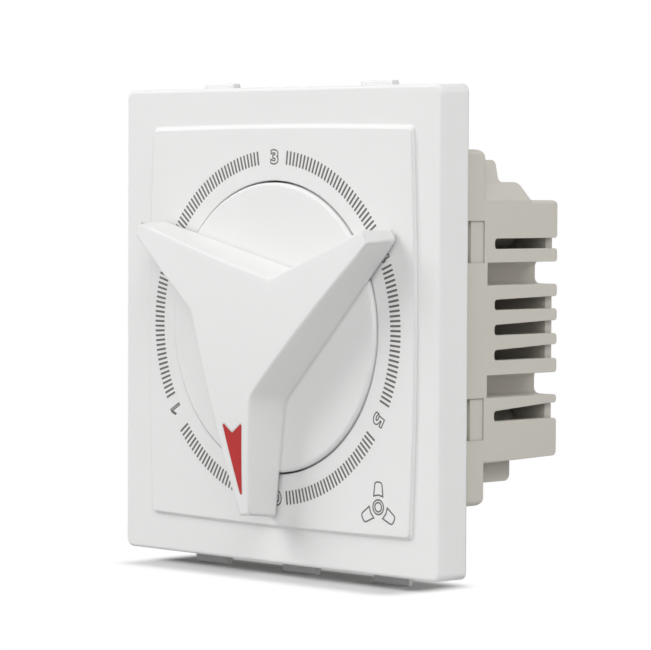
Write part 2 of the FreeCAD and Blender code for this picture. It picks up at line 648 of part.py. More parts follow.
def rear_housing():
    """Beige housing: collar, vented box with side grooves, terminal hump, sill and board posts."""
    shell = housing_mass(0, FLANGE_DEPTH, HOUSING_DEPTH)
    cavity = housing_mass(HOUSING_WALL, FLANGE_DEPTH - HOUSING_WALL, CAVITY_REAR)
    grooves = (SIDE_MIDDLE - GROOVE_PITCH / 2, SIDE_MIDDLE + GROOVE_PITCH / 2)
    trough_front = GROOVE_FRONT - GROOVE_WALL
    troughs = on_both_sides([along_y(groove_outline(z, GROOVE_WALL, at_y(trough_front)),
                                     CAVITY_REAR - trough_front) for z in grooves])
    posts = [rod(POST_RADIUS, BOARD_REAR, CAVITY_REAR, x, z) for x, z in board_posts()]
    shell = shell.cut(cavity.cut(troughs + posts))
    cuts = [vent_slot(SIDE_MIDDLE + z) for z in (VENT_OUTER, VENT_PITCH, 0, -VENT_PITCH, -VENT_OUTER)]
    cuts += [along_y(groove_outline(z, 0, at_y(GROOVE_FRONT)), HOUSING_DEPTH) for z in grooves]
    cuts += [rear_mouth(z - GROOVE_HEIGHT / 2, z + GROOVE_HEIGHT / 2, GROOVE_DEPTH - GROOVE_ROUND) for z in grooves]
    cuts += [snap_window(z) for z in snap_heights()]
    cuts.append(rod(WIRE_ENTRY_RADIUS, TERMINAL_MIDDLE, HOUSING_DEPTH + OVERCUT, TERMINAL_OFFSET, WIRE_HEIGHT))
    cuts.append(upright(SCREW_HEAD_RADIUS + SCREW_ACCESS_GAP, TERMINAL_TOP, HUMP_TOP + OVERCUT,
                        TERMINAL_OFFSET, TERMINAL_MIDDLE))
    pilots = [rod(BOARD_SCREW_SHANK + PUSH_GAP, BOARD_REAR, BOARD_FRONT + BOARD_SCREW_LENGTH + PUSH_GAP, x, z)
              for x, z in board_posts()[:2]]
    return clean(shell.cut(on_both_sides(cuts) + pilots))


# Rotary switch

def rivet_places():
    """Places (x, z) of the two rivets that hold the wafer to the switch base."""
    x = BASE_WIDTH / 2 - RIVET_EDGE
    z = BASE_HEIGHT / 2 - RIVET_EDGE
    return [(x, -z), (-x, z)]


def contact_places():
    """Places (x, z) of the fixed contacts, one for each speed."""
    return [clock_point(CONTACT_CIRCLE, STEP_ANGLE * speed) for speed in range(1, POSITIONS)]


def common_place():
    """Place (x, z) of the common ring's tail."""
    return clock_point((COMMON_OUTER + COMMON_INNER) / 2, 0)


def sector(inner, outer, half_angle, clock, y0, y1):
    """Part of a ring along Y, centred on a clock angle."""
    first = math.radians(clock - half_angle)
    last = math.radians(clock + half_angle)
    middle = math.radians(clock)
    arc_points = [clock_point(outer, math.degrees(turn)) for turn in (first, middle, last)]
    back_points = [clock_point(inner, math.degrees(turn)) for turn in (last, middle, first)]
    place = at_y(y0)
    rim = [place(x, z) for x, z in arc_points]
    root = [place(x, z) for x, z in back_points]
    edges = [Part.Arc(*rim).toShape(), Part.LineSegment(rim[2], root[0]).toShape(),
             Part.Arc(*root).toShape(), Part.LineSegment(root[2], rim[0]).toShape()]
    return along_y(Part.Wire(edges), y1 - y0)


def switch_base():
    """Moulded cup of the rotary switch, with the stop post and the spring's pocket."""
    half_width = BASE_WIDTH / 2
    half_height = BASE_HEIGHT / 2
    cup = along_y(rectangle(-half_width, half_width, -half_height, half_height, BASE_CORNER, at_y(BASE_FRONT)),
                  BASE_DEPTH)
    chamber = rod(BASE_CHAMBER, CHAMBER_FRONT, BASE_REAR + OVERCUT)
    post_half = STEP_ANGLE / 2 - STOP_LUG_HALF_ANGLE - STOP_PLAY
    post = sector(STOP_POST_RADIUS, BASE_CHAMBER + OVERCUT, post_half, -STEP_ANGLE / 2, CHAMBER_FRONT,
                  ROTOR_FRONT + HUB_PLATE - ROTOR_GAP)
    pocket_half = SPRING_HALF_SPAN + SPRING_SIDE_GAP
    pocket = block(-pocket_half, pocket_half, STAR_FRONT - SPRING_SIDE_GAP, BASE_REAR + OVERCUT, 0, SPRING_POCKET)
    cuts = [chamber.cut(post), pocket, rod(BUSH_RADIUS + PUSH_GAP, BASE_FRONT - OVERCUT, CHAMBER_FRONT + OVERCUT)]
    cuts += [rod(RIVET_RADIUS + PUSH_GAP, BASE_FRONT - OVERCUT, BASE_REAR + OVERCUT, x, z)
             for x, z in rivet_places()]
    return clean(cup.cut(cuts))


def spindle_bush():
    """Flanged bush in the switch base that the shaft turns in."""
    bush = rod(BUSH_FLANGE_RADIUS, BASE_FRONT - BUSH_FLANGE, BASE_FRONT).fuse(
        rod(BUSH_RADIUS, BASE_FRONT, CHAMBER_FRONT))
    return clean(bush.cut(rod(SHAFT_RADIUS + RUNNING_GAP, BASE_FRONT - 2 * BUSH_FLANGE, CHAMBER_FRONT + OVERCUT)))


def drive_shaft():
    """D-section shaft from the knob's hub to its pivot in the wafer."""
    shaft = d_section(SHAFT_RADIUS, SHAFT_FLAT, -SHAFT_FRONT, ROTOR_REAR)
    return clean(shaft.fuse(rod(PIVOT_RADIUS, ROTOR_REAR, BOARD_FRONT)))


def star_outline(y):
    """Detent star: one valley for each position, with round lobes between."""
    corners = []
    for step in range(POSITIONS):
        for radius, clock in ((STAR_VALLEY, step * STEP_ANGLE), (STAR_LOBE, (step + 0.5) * STEP_ANGLE)):
            x, z = clock_point(radius, clock)
            corners.append((x, z, STAR_ROUND))
    return rounded_outline(corners, at_y(y))


def detent_rotor():
    """Rotor on the shaft: front plate with the stop lug, and the detent star behind it."""
    plate = rod(HUB_PLATE_RADIUS, ROTOR_FRONT, STAR_FRONT)
    lug = sector(PIVOT_RADIUS, STOP_LUG_RADIUS, STOP_LUG_HALF_ANGLE, 0, ROTOR_FRONT, STAR_FRONT - ROTOR_GAP)
    star = along_y(star_outline(STAR_FRONT), STAR_THICKNESS)
    bore = d_section(SHAFT_RADIUS + PUSH_GAP, SHAFT_FLAT + PUSH_GAP, ROTOR_FRONT - OVERCUT, ROTOR_REAR + OVERCUT)
    return clean(plate.fuse([lug, star]).cut(bore))


def wiper_contact():
    """Sprung contact on the rotor's back that joins the common ring to one fixed contact."""
    rear = ROTOR_REAR + WIPER_THICKNESS
    nose_end = CONTACT_FACE - WIPER_GAP
    ring = tube(WIPER_RING, PIVOT_RADIUS + PUSH_GAP, ROTOR_REAR, rear)
    reach = CONTACT_CIRCLE + WIPER_NOSE
    arm = block(-WIPER_NOSE, WIPER_NOSE, ROTOR_REAR, rear, -reach, -PIVOT_RADIUS - WIPER_NOSE)
    outer_nose = rod(WIPER_NOSE / 2, ROTOR_REAR, nose_end, *clock_point(CONTACT_CIRCLE, 0))
    inner_nose = rod(WIPER_NOSE / 2, ROTOR_REAR, nose_end, *clock_point((COMMON_OUTER + COMMON_INNER) / 2, 180))
    return clean(ring.fuse([arm, outer_nose, inner_nose]))


def contact_wafer():
    """Insulating wafer that closes the switch and carries the contacts."""
    half_width = BASE_WIDTH / 2
    half_height = BASE_HEIGHT / 2
    wafer = along_y(rectangle(-half_width, half_width, -half_height, half_height, BASE_CORNER, at_y(BASE_REAR)),
                    WAFER_THICKNESS)
    cuts = [rod(PIVOT_RADIUS + RUNNING_GAP, BASE_REAR - OVERCUT, BOARD_FRONT + OVERCUT)]
    cuts += [rod(CONTACT_TAIL + PUSH_GAP, BASE_REAR - OVERCUT, BOARD_FRONT + OVERCUT, x, z)
             for x, z in contact_places() + [common_place()]]
    cuts += [rod(RIVET_RADIUS + PUSH_GAP, BASE_REAR - OVERCUT, BOARD_FRONT + OVERCUT, x, z)
             for x, z in rivet_places()]
    return wafer.cut(cuts)


def fixed_contacts():
    """One riveted contact for each speed, with a tail through the board."""
    contacts = [rod(CONTACT_RADIUS, CONTACT_FACE, BASE_REAR, x, z).fuse(rod(CONTACT_TAIL, BASE_REAR, TAIL_END, x, z))
                for x, z in contact_places()]
    return Part.makeCompound([clean(contact) for contact in contacts])


def common_ring():
    """Ring that the wiper always touches, with its tail."""
    x, z = common_place()
    ring = tube(COMMON_OUTER, COMMON_INNER, CONTACT_FACE, BASE_REAR)
    return clean(ring.fuse(rod(CONTACT_TAIL, CONTACT_FACE, TAIL_END, x, z)))


def detent_spring():
    """Leaf spring across the switch base, with a nose in the star's upper valley."""
    tip = STAR_VALLEY + SPRING_NOSE_GAP
    end = SPRING_POCKET
    inner_end = SPRING_POCKET - SPRING_THICKNESS
    half = SPRING_NOSE_HALF
    span = SPRING_HALF_SPAN
    lower = [(-span, inner_end), (-half, SPRING_SHOULDER - SPRING_THICKNESS), (0, tip),
             (half, SPRING_SHOULDER - SPRING_THICKNESS), (span, inner_end)]
    upper = [(span, end), (half - SPRING_THICKNESS, SPRING_SHOULDER), (0, tip + 2 * SPRING_THICKNESS),
             (SPRING_THICKNESS - half, SPRING_SHOULDER), (-span, end)]
    outline = rounded_outline([(x, z, 0) for x, z in lower + upper], at_y(STAR_FRONT))
    return along_y(outline, STAR_THICKNESS)


def wafer_rivets():
    """Two rivets through the switch base and the wafer."""
    rivets = []
    for x, z in rivet_places():
        shank = rod(RIVET_RADIUS, BASE_FRONT, BOARD_FRONT, x, z)
        front_head = rod(RIVET_HEAD_RADIUS, BASE_FRONT - RIVET_HEAD, BASE_FRONT, x, z)
        rear_head = rod(RIVET_HEAD_RADIUS, BOARD_FRONT, BOARD_FRONT + RIVET_HEAD, x, z)
        rivets.append(clean(shank.fuse([front_head, rear_head])))
    return Part.makeCompound(rivets)


# Circuit board and what it carries

def upright(radius, z0, z1, x, y):
    """Round bar along Z."""
    return Part.makeCylinder(radius, z1 - z0, FreeCAD.Vector(x, y, z0))


def capacitor_places():
    """Left and right edges of the large and the small capacitor."""
    parting = LARGE_CAPACITOR_SHARE * (2 * PACK_SIDE - CAPACITOR_GAP) - PACK_SIDE
    return (-PACK_SIDE, parting), (parting + CAPACITOR_GAP, PACK_SIDE)


def capacitor_legs(left, right):
    """Places (x, z) of a capacitor's two legs."""
    middle = (CAPACITOR_BOTTOM + CAPACITOR_TOP) / 2
    return [(left + CAPACITOR_LEG_INSET, middle), (right - CAPACITOR_LEG_INSET, middle)]


def bleed_legs(side):
    """Places (x, z) of the legs of the bleed resistor on one side."""
    reach = BLEED_LENGTH / 2 + RESISTOR_COLLAR
    return [(side * BLEED_OFFSET, -reach), (side * BLEED_OFFSET, reach)]


def surge_legs():
    """Places (x, z) of the surge resistor's legs."""
    reach = SURGE_LENGTH / 2 + RESISTOR_COLLAR
    return [(-reach, SURGE_HEIGHT), (reach, SURGE_HEIGHT)]


def circuit_board():
    """Board behind the switch, drilled for tails, legs, rivets and screws."""
    board = along_y(rectangle(-BOARD_HALF_WIDTH, BOARD_HALF_WIDTH, -BOARD_HALF_HEIGHT, BOARD_HALF_HEIGHT,
                              BOARD_CORNER, at_y(BOARD_FRONT)), BOARD_THICKNESS)
    holes = [(CONTACT_TAIL, place) for place in contact_places() + [common_place()]]
    holes += [(RIVET_HEAD_RADIUS, place) for place in rivet_places()]
    holes += [(BOARD_SCREW_SHANK, place) for place in board_posts()[:2]]
    legs = bleed_legs(-1) + bleed_legs(1) + surge_legs()
    for left, right in capacitor_places():
        legs += capacitor_legs(left, right)
    holes += [(LEG_RADIUS, place) for place in legs]
    return board.cut([rod(radius + TAIL_GAP, BOARD_FRONT - OVERCUT, BOARD_REAR + OVERCUT, x, z)
                      for radius, (x, z) in holes])


def capacitor(left, right, depth):
    """Box film capacitor on its two legs behind the board."""
    front = BOARD_REAR + COMPONENT_STANDOFF
    can = along_y(rectangle(left, right, CAPACITOR_BOTTOM, CAPACITOR_TOP, CAPACITOR_ROUND, at_y(front)), depth)
    can = can.makeFillet(CAPACITOR_ROUND / 2, edges_at(can, front + depth))
    legs = [rod(LEG_RADIUS, BOARD_FRONT + LEG_BURIED, front, x, z) for x, z in capacitor_legs(left, right)]
    return clean(can.fuse(legs))


def bent_lead(legs, y, tip):
    """Round wire that runs straight through a resistor's axis at y and bends down its two legs to tip."""
    (x0, z0), (x1, z1) = legs
    corners = [FreeCAD.Vector(x0, y, z0), FreeCAD.Vector(x1, y, z1)]
    ends = [FreeCAD.Vector(x0, tip, z0), FreeCAD.Vector(x1, tip, z1)]
    across = (corners[1] - corners[0]).normalize()
    down = (ends[0] - corners[0]).normalize()
    bends = []
    for corner, inward in ((corners[0], across), (corners[1], across * -1)):
        centre = corner + (inward + down) * LEAD_BEND
        crown = centre - (inward + down).normalize() * LEAD_BEND
        bends.append((corner + down * LEAD_BEND, crown, corner + inward * LEAD_BEND))
    path = Part.Wire([Part.LineSegment(ends[0], bends[0][0]).toShape(), Part.Arc(*bends[0]).toShape(),
                      Part.LineSegment(bends[0][2], bends[1][2]).toShape(),
                      Part.Arc(*reversed(bends[1])).toShape(), Part.LineSegment(bends[1][0], ends[1]).toShape()])
    section = Part.Wire(Part.makeCircle(LEG_RADIUS, ends[0], down))
    return path.makePipeShell([section], True, False)


def axial_resistor(radius, length, centre, axis, legs, tip):
    """Resistor body with rounded ends about a centre, along X or Z, on its bent lead."""
    body = Part.makeCylinder(radius, length, centre - axis * (length / 2), axis)
    body = body.makeFillet(RESISTOR_ROUND, [edge for edge in body.Edges if edge.Closed])
    return clean(body.fuse(bent_lead(legs, centre.y, tip)))


def bleed_resistor(side):
    """Resistor in front of the board, beside the switch."""
    centre = FreeCAD.Vector(side * BLEED_OFFSET, BOARD_FRONT - COMPONENT_STANDOFF / 2 - BLEED_RADIUS, 0)
    return axial_resistor(BLEED_RADIUS, BLEED_LENGTH, centre, FreeCAD.Vector(0, 0, 1), bleed_legs(side), TAIL_END)


def bleed_resistors():
    """The two bleed resistors that discharge the capacitors."""
    return Part.makeCompound([bleed_resistor(side) for side in (-1, 1)])


def surge_resistor():
    """Resistor behind the board, between the terminals."""
    centre = FreeCAD.Vector(0, BOARD_REAR + COMPONENT_STANDOFF / 2 + SURGE_RADIUS, SURGE_HEIGHT)
    return axial_resistor(SURGE_RADIUS, SURGE_LENGTH, centre, FreeCAD.Vector(1, 0, 0), surge_legs(),
                          BOARD_FRONT + LEG_BURIED)


def terminal(side):
    """Brass clamp block on the board, bored from behind for the wire and from above for its screw."""
    x = side * TERMINAL_OFFSET
    half = TERMINAL_WIDTH / 2
    body = along_y(rectangle(x - half, x + half, TERMINAL_BOTTOM, TERMINAL_TOP, TERMINAL_ROUND, at_y(BOARD_REAR)),
                   TERMINAL_LENGTH)
    wire_way = rod(WIRE_RADIUS, BOARD_REAR - OVERCUT, BOARD_REAR + TERMINAL_LENGTH + OVERCUT, x, WIRE_HEIGHT)
    screw_way = upright(SCREW_SHANK + PUSH_GAP, WIRE_HEIGHT, TERMINAL_TOP + OVERCUT, x, TERMINAL_MIDDLE)
    return body.cut([wire_way, screw_way])


def terminal_screws():
    """One slotted clamp screw for each terminal."""
    screws = []
    for side in (-1, 1):
        x = side * TERMINAL_OFFSET
        top = TERMINAL_TOP + SCREW_HEAD
        screw = upright(SCREW_SHANK, WIRE_HEIGHT + WIRE_RADIUS, TERMINAL_TOP, x, TERMINAL_MIDDLE)
        screw = screw.fuse(upright(SCREW_HEAD_RADIUS, TERMINAL_TOP, top, x, TERMINAL_MIDDLE))
        slot = block(x - 2 * SCREW_HEAD_RADIUS, x + 2 * SCREW_HEAD_RADIUS, TERMINAL_MIDDLE - SCREW_SLOT_WIDTH / 2,
                     TERMINAL_MIDDLE + SCREW_SLOT_WIDTH / 2, top - SCREW_SLOT_DEPTH, top + OVERCUT)
        screws.append(clean(screw.cut(slot)))
    return Part.makeCompound(screws)


def board_screws():
    """Two screws that hold the board to its posts."""
    screws = []
    for x, z in board_posts()[:2]:
        shank = rod(BOARD_SCREW_SHANK, BOARD_FRONT, BOARD_FRONT + BOARD_SCREW_LENGTH, x, z)
        head = rod(BOARD_SCREW_HEAD_RADIUS, BOARD_FRONT - BOARD_SCREW_HEAD, BOARD_FRONT, x, z)
        screws.append(clean(shank.fuse(head)))
    return Part.makeCompound(screws)


def main():
    """Build every piece and write it to its own file."""
    large, small = capacitor_places()
    pieces = {
        "front_plate": front_plate(),
        "knob": knob(),
        "pointer_inlay": pointer_inlay(),
        "rear_housing": rear_housing(),
        "switch_base": switch_base(),
        "spindle_bush": spindle_bush(),
        "drive_shaft": drive_shaft(),
        "detent_rotor": detent_rotor(),
        "wiper_contact": wiper_contact(),
        "contact_wafer": contact_wafer(),
        "fixed_contacts": fixed_contacts(),
        "common_ring": common_ring(),
        "detent_spring": detent_spring(),
        "wafer_rivets": wafer_rivets(),
        "circuit_board": circuit_board(),
        "capacitor_large": capacitor(*large, LARGE_CAPACITOR_DEPTH),
        "capacitor_small": capacitor(*small, SMALL_CAPACITOR_DEPTH),
        "bleed_resistors": bleed_resistors(),
        "surge_resistor": surge_resistor(),
        "line_terminal": terminal(-1),
        "load_terminal": terminal(1),
        "terminal_screws": terminal_screws(),
        "board_screws": board_screws(),
    }
    for name, shape in pieces.items():
        shape.exportStep(f"parts/{name}.step")
        print(name, "solids", len(shape.Solids), "valid", shape.isValid(), "volume", round(shape.Volume, 2))


main()
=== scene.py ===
import json
import logging
import math
from collections.abc import Callable
from dataclasses import dataclass
from enum import Enum

import bpy
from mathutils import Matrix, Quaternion, Vector

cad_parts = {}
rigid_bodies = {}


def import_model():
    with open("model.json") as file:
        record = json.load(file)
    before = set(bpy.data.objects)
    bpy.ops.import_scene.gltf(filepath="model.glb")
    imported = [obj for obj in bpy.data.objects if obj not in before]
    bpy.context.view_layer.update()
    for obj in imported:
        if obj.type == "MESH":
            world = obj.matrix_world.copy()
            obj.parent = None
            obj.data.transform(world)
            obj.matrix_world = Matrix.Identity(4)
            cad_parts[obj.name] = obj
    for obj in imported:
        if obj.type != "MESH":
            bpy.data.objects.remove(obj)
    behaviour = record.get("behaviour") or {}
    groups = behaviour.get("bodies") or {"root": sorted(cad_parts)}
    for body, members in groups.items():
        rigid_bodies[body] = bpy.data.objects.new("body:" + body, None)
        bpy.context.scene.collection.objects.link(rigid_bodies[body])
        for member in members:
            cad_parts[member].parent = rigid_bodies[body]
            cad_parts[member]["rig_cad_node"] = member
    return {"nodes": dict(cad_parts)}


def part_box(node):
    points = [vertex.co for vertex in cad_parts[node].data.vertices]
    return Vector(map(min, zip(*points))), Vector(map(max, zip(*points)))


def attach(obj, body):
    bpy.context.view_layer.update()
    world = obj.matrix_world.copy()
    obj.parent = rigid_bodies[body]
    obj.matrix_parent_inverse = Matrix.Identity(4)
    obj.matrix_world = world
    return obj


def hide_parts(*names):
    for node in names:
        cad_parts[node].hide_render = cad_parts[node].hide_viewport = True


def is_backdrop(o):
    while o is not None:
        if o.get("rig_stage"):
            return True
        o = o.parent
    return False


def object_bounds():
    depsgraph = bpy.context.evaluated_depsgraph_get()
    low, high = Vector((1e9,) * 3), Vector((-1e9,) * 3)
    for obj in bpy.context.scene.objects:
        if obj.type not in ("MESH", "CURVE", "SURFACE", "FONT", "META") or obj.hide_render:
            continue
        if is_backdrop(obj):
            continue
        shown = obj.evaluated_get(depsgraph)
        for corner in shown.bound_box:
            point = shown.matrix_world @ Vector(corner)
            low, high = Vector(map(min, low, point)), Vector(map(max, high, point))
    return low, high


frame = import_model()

LOG = logging.getLogger("fan_speed_switch")
EDGE_SAMPLES = 6
LOW_DETAIL, MIDDLE_DETAIL, HIGH_DETAIL = 2.0, 3.0, 4.0
DRAW_STRETCH = (1.0, 0.08, 1.0)
FIBRE_STRETCH = (0.15, 1.0, 1.0)
ORIGIN = (0.0, 0.0, 0.0)
Colour = tuple[float, float, float]


def mm(length: float) -> float:
    """Metres from millimetres."""
    return length * 0.001


class Select(Enum):
    """What edit mode selects."""

    CORNERS = "VERT"
    FACES = "FACE"


# Hand work on meshes

def only(piece: bpy.types.Object) -> None:
    """Make one piece the only selected and active one.

    Args:
        piece: The piece that the next operators act on.
    """
    bpy.ops.object.select_all(action="DESELECT")
    piece.select_set(True)
    bpy.context.view_layer.objects.active = piece


def open_mesh(piece: bpy.types.Object, kind: Select) -> None:
    """Enter edit mode on a piece with all of its mesh selected.

    Args:
        piece: The piece to edit.
        kind: Whether corners or faces are selected.
    """
    only(piece)
    bpy.ops.object.mode_set(mode="EDIT")
    bpy.ops.mesh.select_mode(type=kind.value)
    bpy.ops.mesh.select_all(action="SELECT")


def close_mesh() -> None:
    """Leave edit mode."""
    bpy.ops.object.mode_set(mode="OBJECT")


def pick(piece: bpy.types.Object, test: Callable[[Vector], bool]) -> None:
    """Select the corners of a mesh in edit mode by their place.

    Args:
        piece: The piece that is open in edit mode.
        test: Says of a corner's place whether it is selected.
    """
    bpy.ops.object.mode_set(mode="OBJECT")
    mesh = piece.data
    for face in mesh.polygons:
        face.select = False
    for edge in mesh.edges:
        edge.select = False
    for corner in mesh.vertices:
        corner.select = test(corner.co)
    bpy.ops.object.mode_set(mode="EDIT")
    bpy.ops.mesh.select_mode(type=Select.CORNERS.value)


def thicken(rise: float) -> None:
    """Raise the selected faces of the open mesh into a thin solid.

    Args:
        rise: Height along the local Z axis.
    """
    bpy.ops.mesh.extrude_region_move(TRANSFORM_OT_translate={"value": (0.0, 0.0, rise)})


def flat_sheet(width: float, height: float) -> bpy.types.Object:
    """Add a flat rectangle round the origin and open it in edit mode.

    Args:
        width: Size along X.
        height: Size along Y.

    Returns:
        The rectangle, with all of its mesh selected.
    """
    bpy.ops.object.select_all(action="DESELECT")
    bpy.ops.mesh.primitive_plane_add(size=1.0, location=ORIGIN)
    piece = bpy.context.view_layer.objects.active
    open_mesh(piece, Select.CORNERS)
    bpy.ops.transform.resize(value=(width, height, 1.0), center_override=ORIGIN)
    return piece


def settle(piece: bpy.types.Object) -> None:
    """Put a piece's place and turn into its mesh.

    Args:
        piece: The piece, which ends at the origin, unturned and unscaled.
    """
    only(piece)
    bpy.ops.object.transform_apply(location=True, rotation=True, scale=True)


def join(pieces: list[bpy.types.Object], name: str) -> bpy.types.Object:
    """Make several pieces one.

    Args:
        pieces: The pieces; the first takes in the others.
        name: Name of the result.

    Returns:
        The one piece.
    """
    bpy.ops.object.select_all(action="DESELECT")
    for piece in pieces:
        piece.select_set(True)
    bpy.context.view_layer.objects.active = pieces[0]
    bpy.ops.object.join()
    whole = bpy.context.view_layer.objects.active
    whole.name = name
    whole.data.name = name
    return whole


def dress(piece: bpy.types.Object, material: bpy.types.Material) -> None:
    """Give a piece one material.

    Args:
        piece: The piece to dress.
        material: Its only material.
    """
    piece.data.materials.clear()
    piece.data.materials.append(material)


# Node groups that the finishes share

@dataclass
class NodeSheet:
    """A node tree with short calls to add and link nodes."""

    tree: bpy.types.NodeTree

    def add(self, kind: str, **settings: object) -> bpy.types.Node:
        """Add a node.

        Args:
            kind: The node's type name.
            settings: Attributes of the node to set.

        Returns:
            The new node.
        """
        node = self.tree.nodes.new(kind)
        for name, value in settings.items():
            setattr(node, name, value)
        return node

    def link(self, start: bpy.types.NodeSocket, end: bpy.types.NodeSocket) -> None:
        """Link an output to an input."""
        self.tree.links.new(start, end)

    def math(self, operation: str, first: object, second: object) -> bpy.types.NodeSocket:
        """Add a Math node on two sockets or numbers.

        Args:
            operation: The node's operation.
            first: A socket or a number.
            second: A socket or a number.

        Returns:
            The node's output.
        """
        node = self.add("ShaderNodeMath", operation=operation)
        for socket, value in zip(node.inputs, (first, second)):
            if isinstance(value, bpy.types.NodeSocket):
                self.link(value, socket)
            else:
                socket.default_value = value
        return node.outputs[0]

    def noise(self, place: bpy.types.NodeSocket, scale: object, detail: float) -> bpy.types.NodeSocket:
        """Add a noise texture.

        Args:
            place: The coordinates.
            scale: A socket or a number.
            detail: Octaves of the noise.

        Returns:
            The noise value, about 0.5 on average.
        """
        node = self.add("ShaderNodeTexNoise")
        node.inputs["Detail"].default_value = detail
        self.link(place, node.inputs["Vector"])
        if isinstance(scale, bpy.types.NodeSocket):
            self.link(scale, node.inputs["Scale"])
        else:
            node.inputs["Scale"].default_value = scale
        return node.outputs["Fac"]


@dataclass
class SurfaceGroup:
    """A shader node group with named inputs and outputs."""

    name: str
    colours: tuple[str, ...]
    values: tuple[str, ...]

    def start(self) -> tuple[NodeSheet, bpy.types.Node, bpy.types.Node]:
        """Make the empty group.

        Returns:
            The sheet, the group's input node and its output node.
        """
        tree = bpy.data.node_groups.new(self.name, "ShaderNodeTree")
        for label in self.colours:
            tree.interface.new_socket(name=label, in_out="INPUT", socket_type="NodeSocketColor")
        for label in self.values:
            tree.interface.new_socket(name=label, in_out="INPUT", socket_type="NodeSocketFloat")
        tree.interface.new_socket(name="Colour", in_out="OUTPUT", socket_type="NodeSocketColor")
        for label in ("Roughness", "Height"):
            tree.interface.new_socket(name=label, in_out="OUTPUT", socket_type="NodeSocketFloat")
        sheet = NodeSheet(tree)
        return sheet, sheet.add("NodeGroupInput"), sheet.add("NodeGroupOutput")


def varied(sheet: NodeSheet, middle: object, noise: bpy.types.NodeSocket,
           spread: object) -> bpy.types.NodeSocket:
    """Vary a value about its middle by a noise.

    Args:
        sheet: The sheet that gets the nodes.
        middle: The value where the noise is 0.5.
        noise: The noise, from 0 to 1.
        spread: The whole range of the variation.

    Returns:
        The varied value.
    """
    swing = sheet.math("MULTIPLY", sheet.math("SUBTRACT", noise, 0.5), spread)
    return sheet.math("ADD", swing, middle)


def moulded_skin_group() -> bpy.types.NodeTree:
    """Skin of moulded plastic: cloudy tint, fine spark-eroded grain and uneven gloss.

    Returns:
        The node group.
    """
    group = SurfaceGroup("Moulded skin", ("Colour",), (
        "Tint Spread", "Roughness", "Roughness Spread", "Grain Scale", "Cloud Scale"))
    sheet, given, made = group.start()
    place = sheet.add("ShaderNodeTexCoord").outputs["Object"]
    cloud = sheet.noise(place, given.outputs["Cloud Scale"], MIDDLE_DETAIL)
    grain = sheet.noise(place, given.outputs["Grain Scale"], LOW_DETAIL)
    tint = varied(sheet, 1.0, cloud, given.outputs["Tint Spread"])
    shade = sheet.add("ShaderNodeVectorMath", operation="SCALE")
    sheet.link(given.outputs["Colour"], shade.inputs["Vector"])
    sheet.link(tint, shade.inputs["Scale"])
    gloss = sheet.math("MULTIPLY", sheet.math("ADD", cloud, grain), 0.5)
    sheet.link(shade.outputs["Vector"], made.inputs["Colour"])
    sheet.link(varied(sheet, given.outputs["Roughness"], gloss, given.outputs["Roughness Spread"]),
               made.inputs["Roughness"])
    sheet.link(grain, made.inputs["Height"])
    return sheet.tree


def drawn_metal_group() -> bpy.types.NodeTree:
    """Skin of stamped or turned metal: long draw lines and spots of tarnish.

    Returns:
        The node group.
    """
    group = SurfaceGroup("Drawn metal", ("Colour", "Tarnish"), (
        "Tarnish Amount", "Roughness", "Roughness Spread", "Line Scale", "Spot Scale"))
    sheet, given, made = group.start()
    place = sheet.add("ShaderNodeTexCoord").outputs["Object"]
    stretch = sheet.add("ShaderNodeMapping")
    stretch.inputs["Scale"].default_value = DRAW_STRETCH
    sheet.link(place, stretch.inputs["Vector"])
    lines = sheet.noise(stretch.outputs["Vector"], given.outputs["Line Scale"], LOW_DETAIL)
    spots = sheet.noise(place, given.outputs["Spot Scale"], HIGH_DETAIL)
    mix = sheet.add("ShaderNodeMix", data_type="RGBA")
    sheet.link(sheet.math("MULTIPLY", spots, given.outputs["Tarnish Amount"]), mix.inputs["Factor"])
    sheet.link(given.outputs["Colour"], mix.inputs["A"])
    sheet.link(given.outputs["Tarnish"], mix.inputs["B"])
    sheet.link(mix.outputs["Result"], made.inputs["Colour"])
    sheet.link(varied(sheet, given.outputs["Roughness"], lines, given.outputs["Roughness Spread"]),
               made.inputs["Roughness"])
    sheet.link(lines, made.inputs["Height"])
    return sheet.tree


def pressed_paper_group() -> bpy.types.NodeTree:
    """Skin of resin-bonded paper sheet: fibres and blotches.

    Returns:
        The node group.
    """
    group = SurfaceGroup("Pressed paper", ("Colour", "Fibre"), (
        "Fibre Amount", "Roughness", "Roughness Spread", "Fibre Scale", "Blotch Scale"))
    sheet, given, made = group.start()
    place = sheet.add("ShaderNodeTexCoord").outputs["Object"]
    lay = sheet.add("ShaderNodeMapping")
    lay.inputs["Scale"].default_value = FIBRE_STRETCH
    sheet.link(place, lay.inputs["Vector"])
    fibre = sheet.noise(lay.outputs["Vector"], given.outputs["Fibre Scale"], HIGH_DETAIL)
    blotch = sheet.noise(place, given.outputs["Blotch Scale"], LOW_DETAIL)
    mix = sheet.add("ShaderNodeMix", data_type="RGBA")
    streak = sheet.math("MULTIPLY", fibre, blotch)
    sheet.link(sheet.math("MULTIPLY", streak, given.outputs["Fibre Amount"]), mix.inputs["Factor"])
    sheet.link(given.outputs["Colour"], mix.inputs["A"])
    sheet.link(given.outputs["Fibre"], mix.inputs["B"])
    sheet.link(mix.outputs["Result"], made.inputs["Colour"])
    sheet.link(varied(sheet, given.outputs["Roughness"], blotch, given.outputs["Roughness Spread"]),
               made.inputs["Roughness"])
    sheet.link(fibre, made.inputs["Height"])
    return sheet.tree


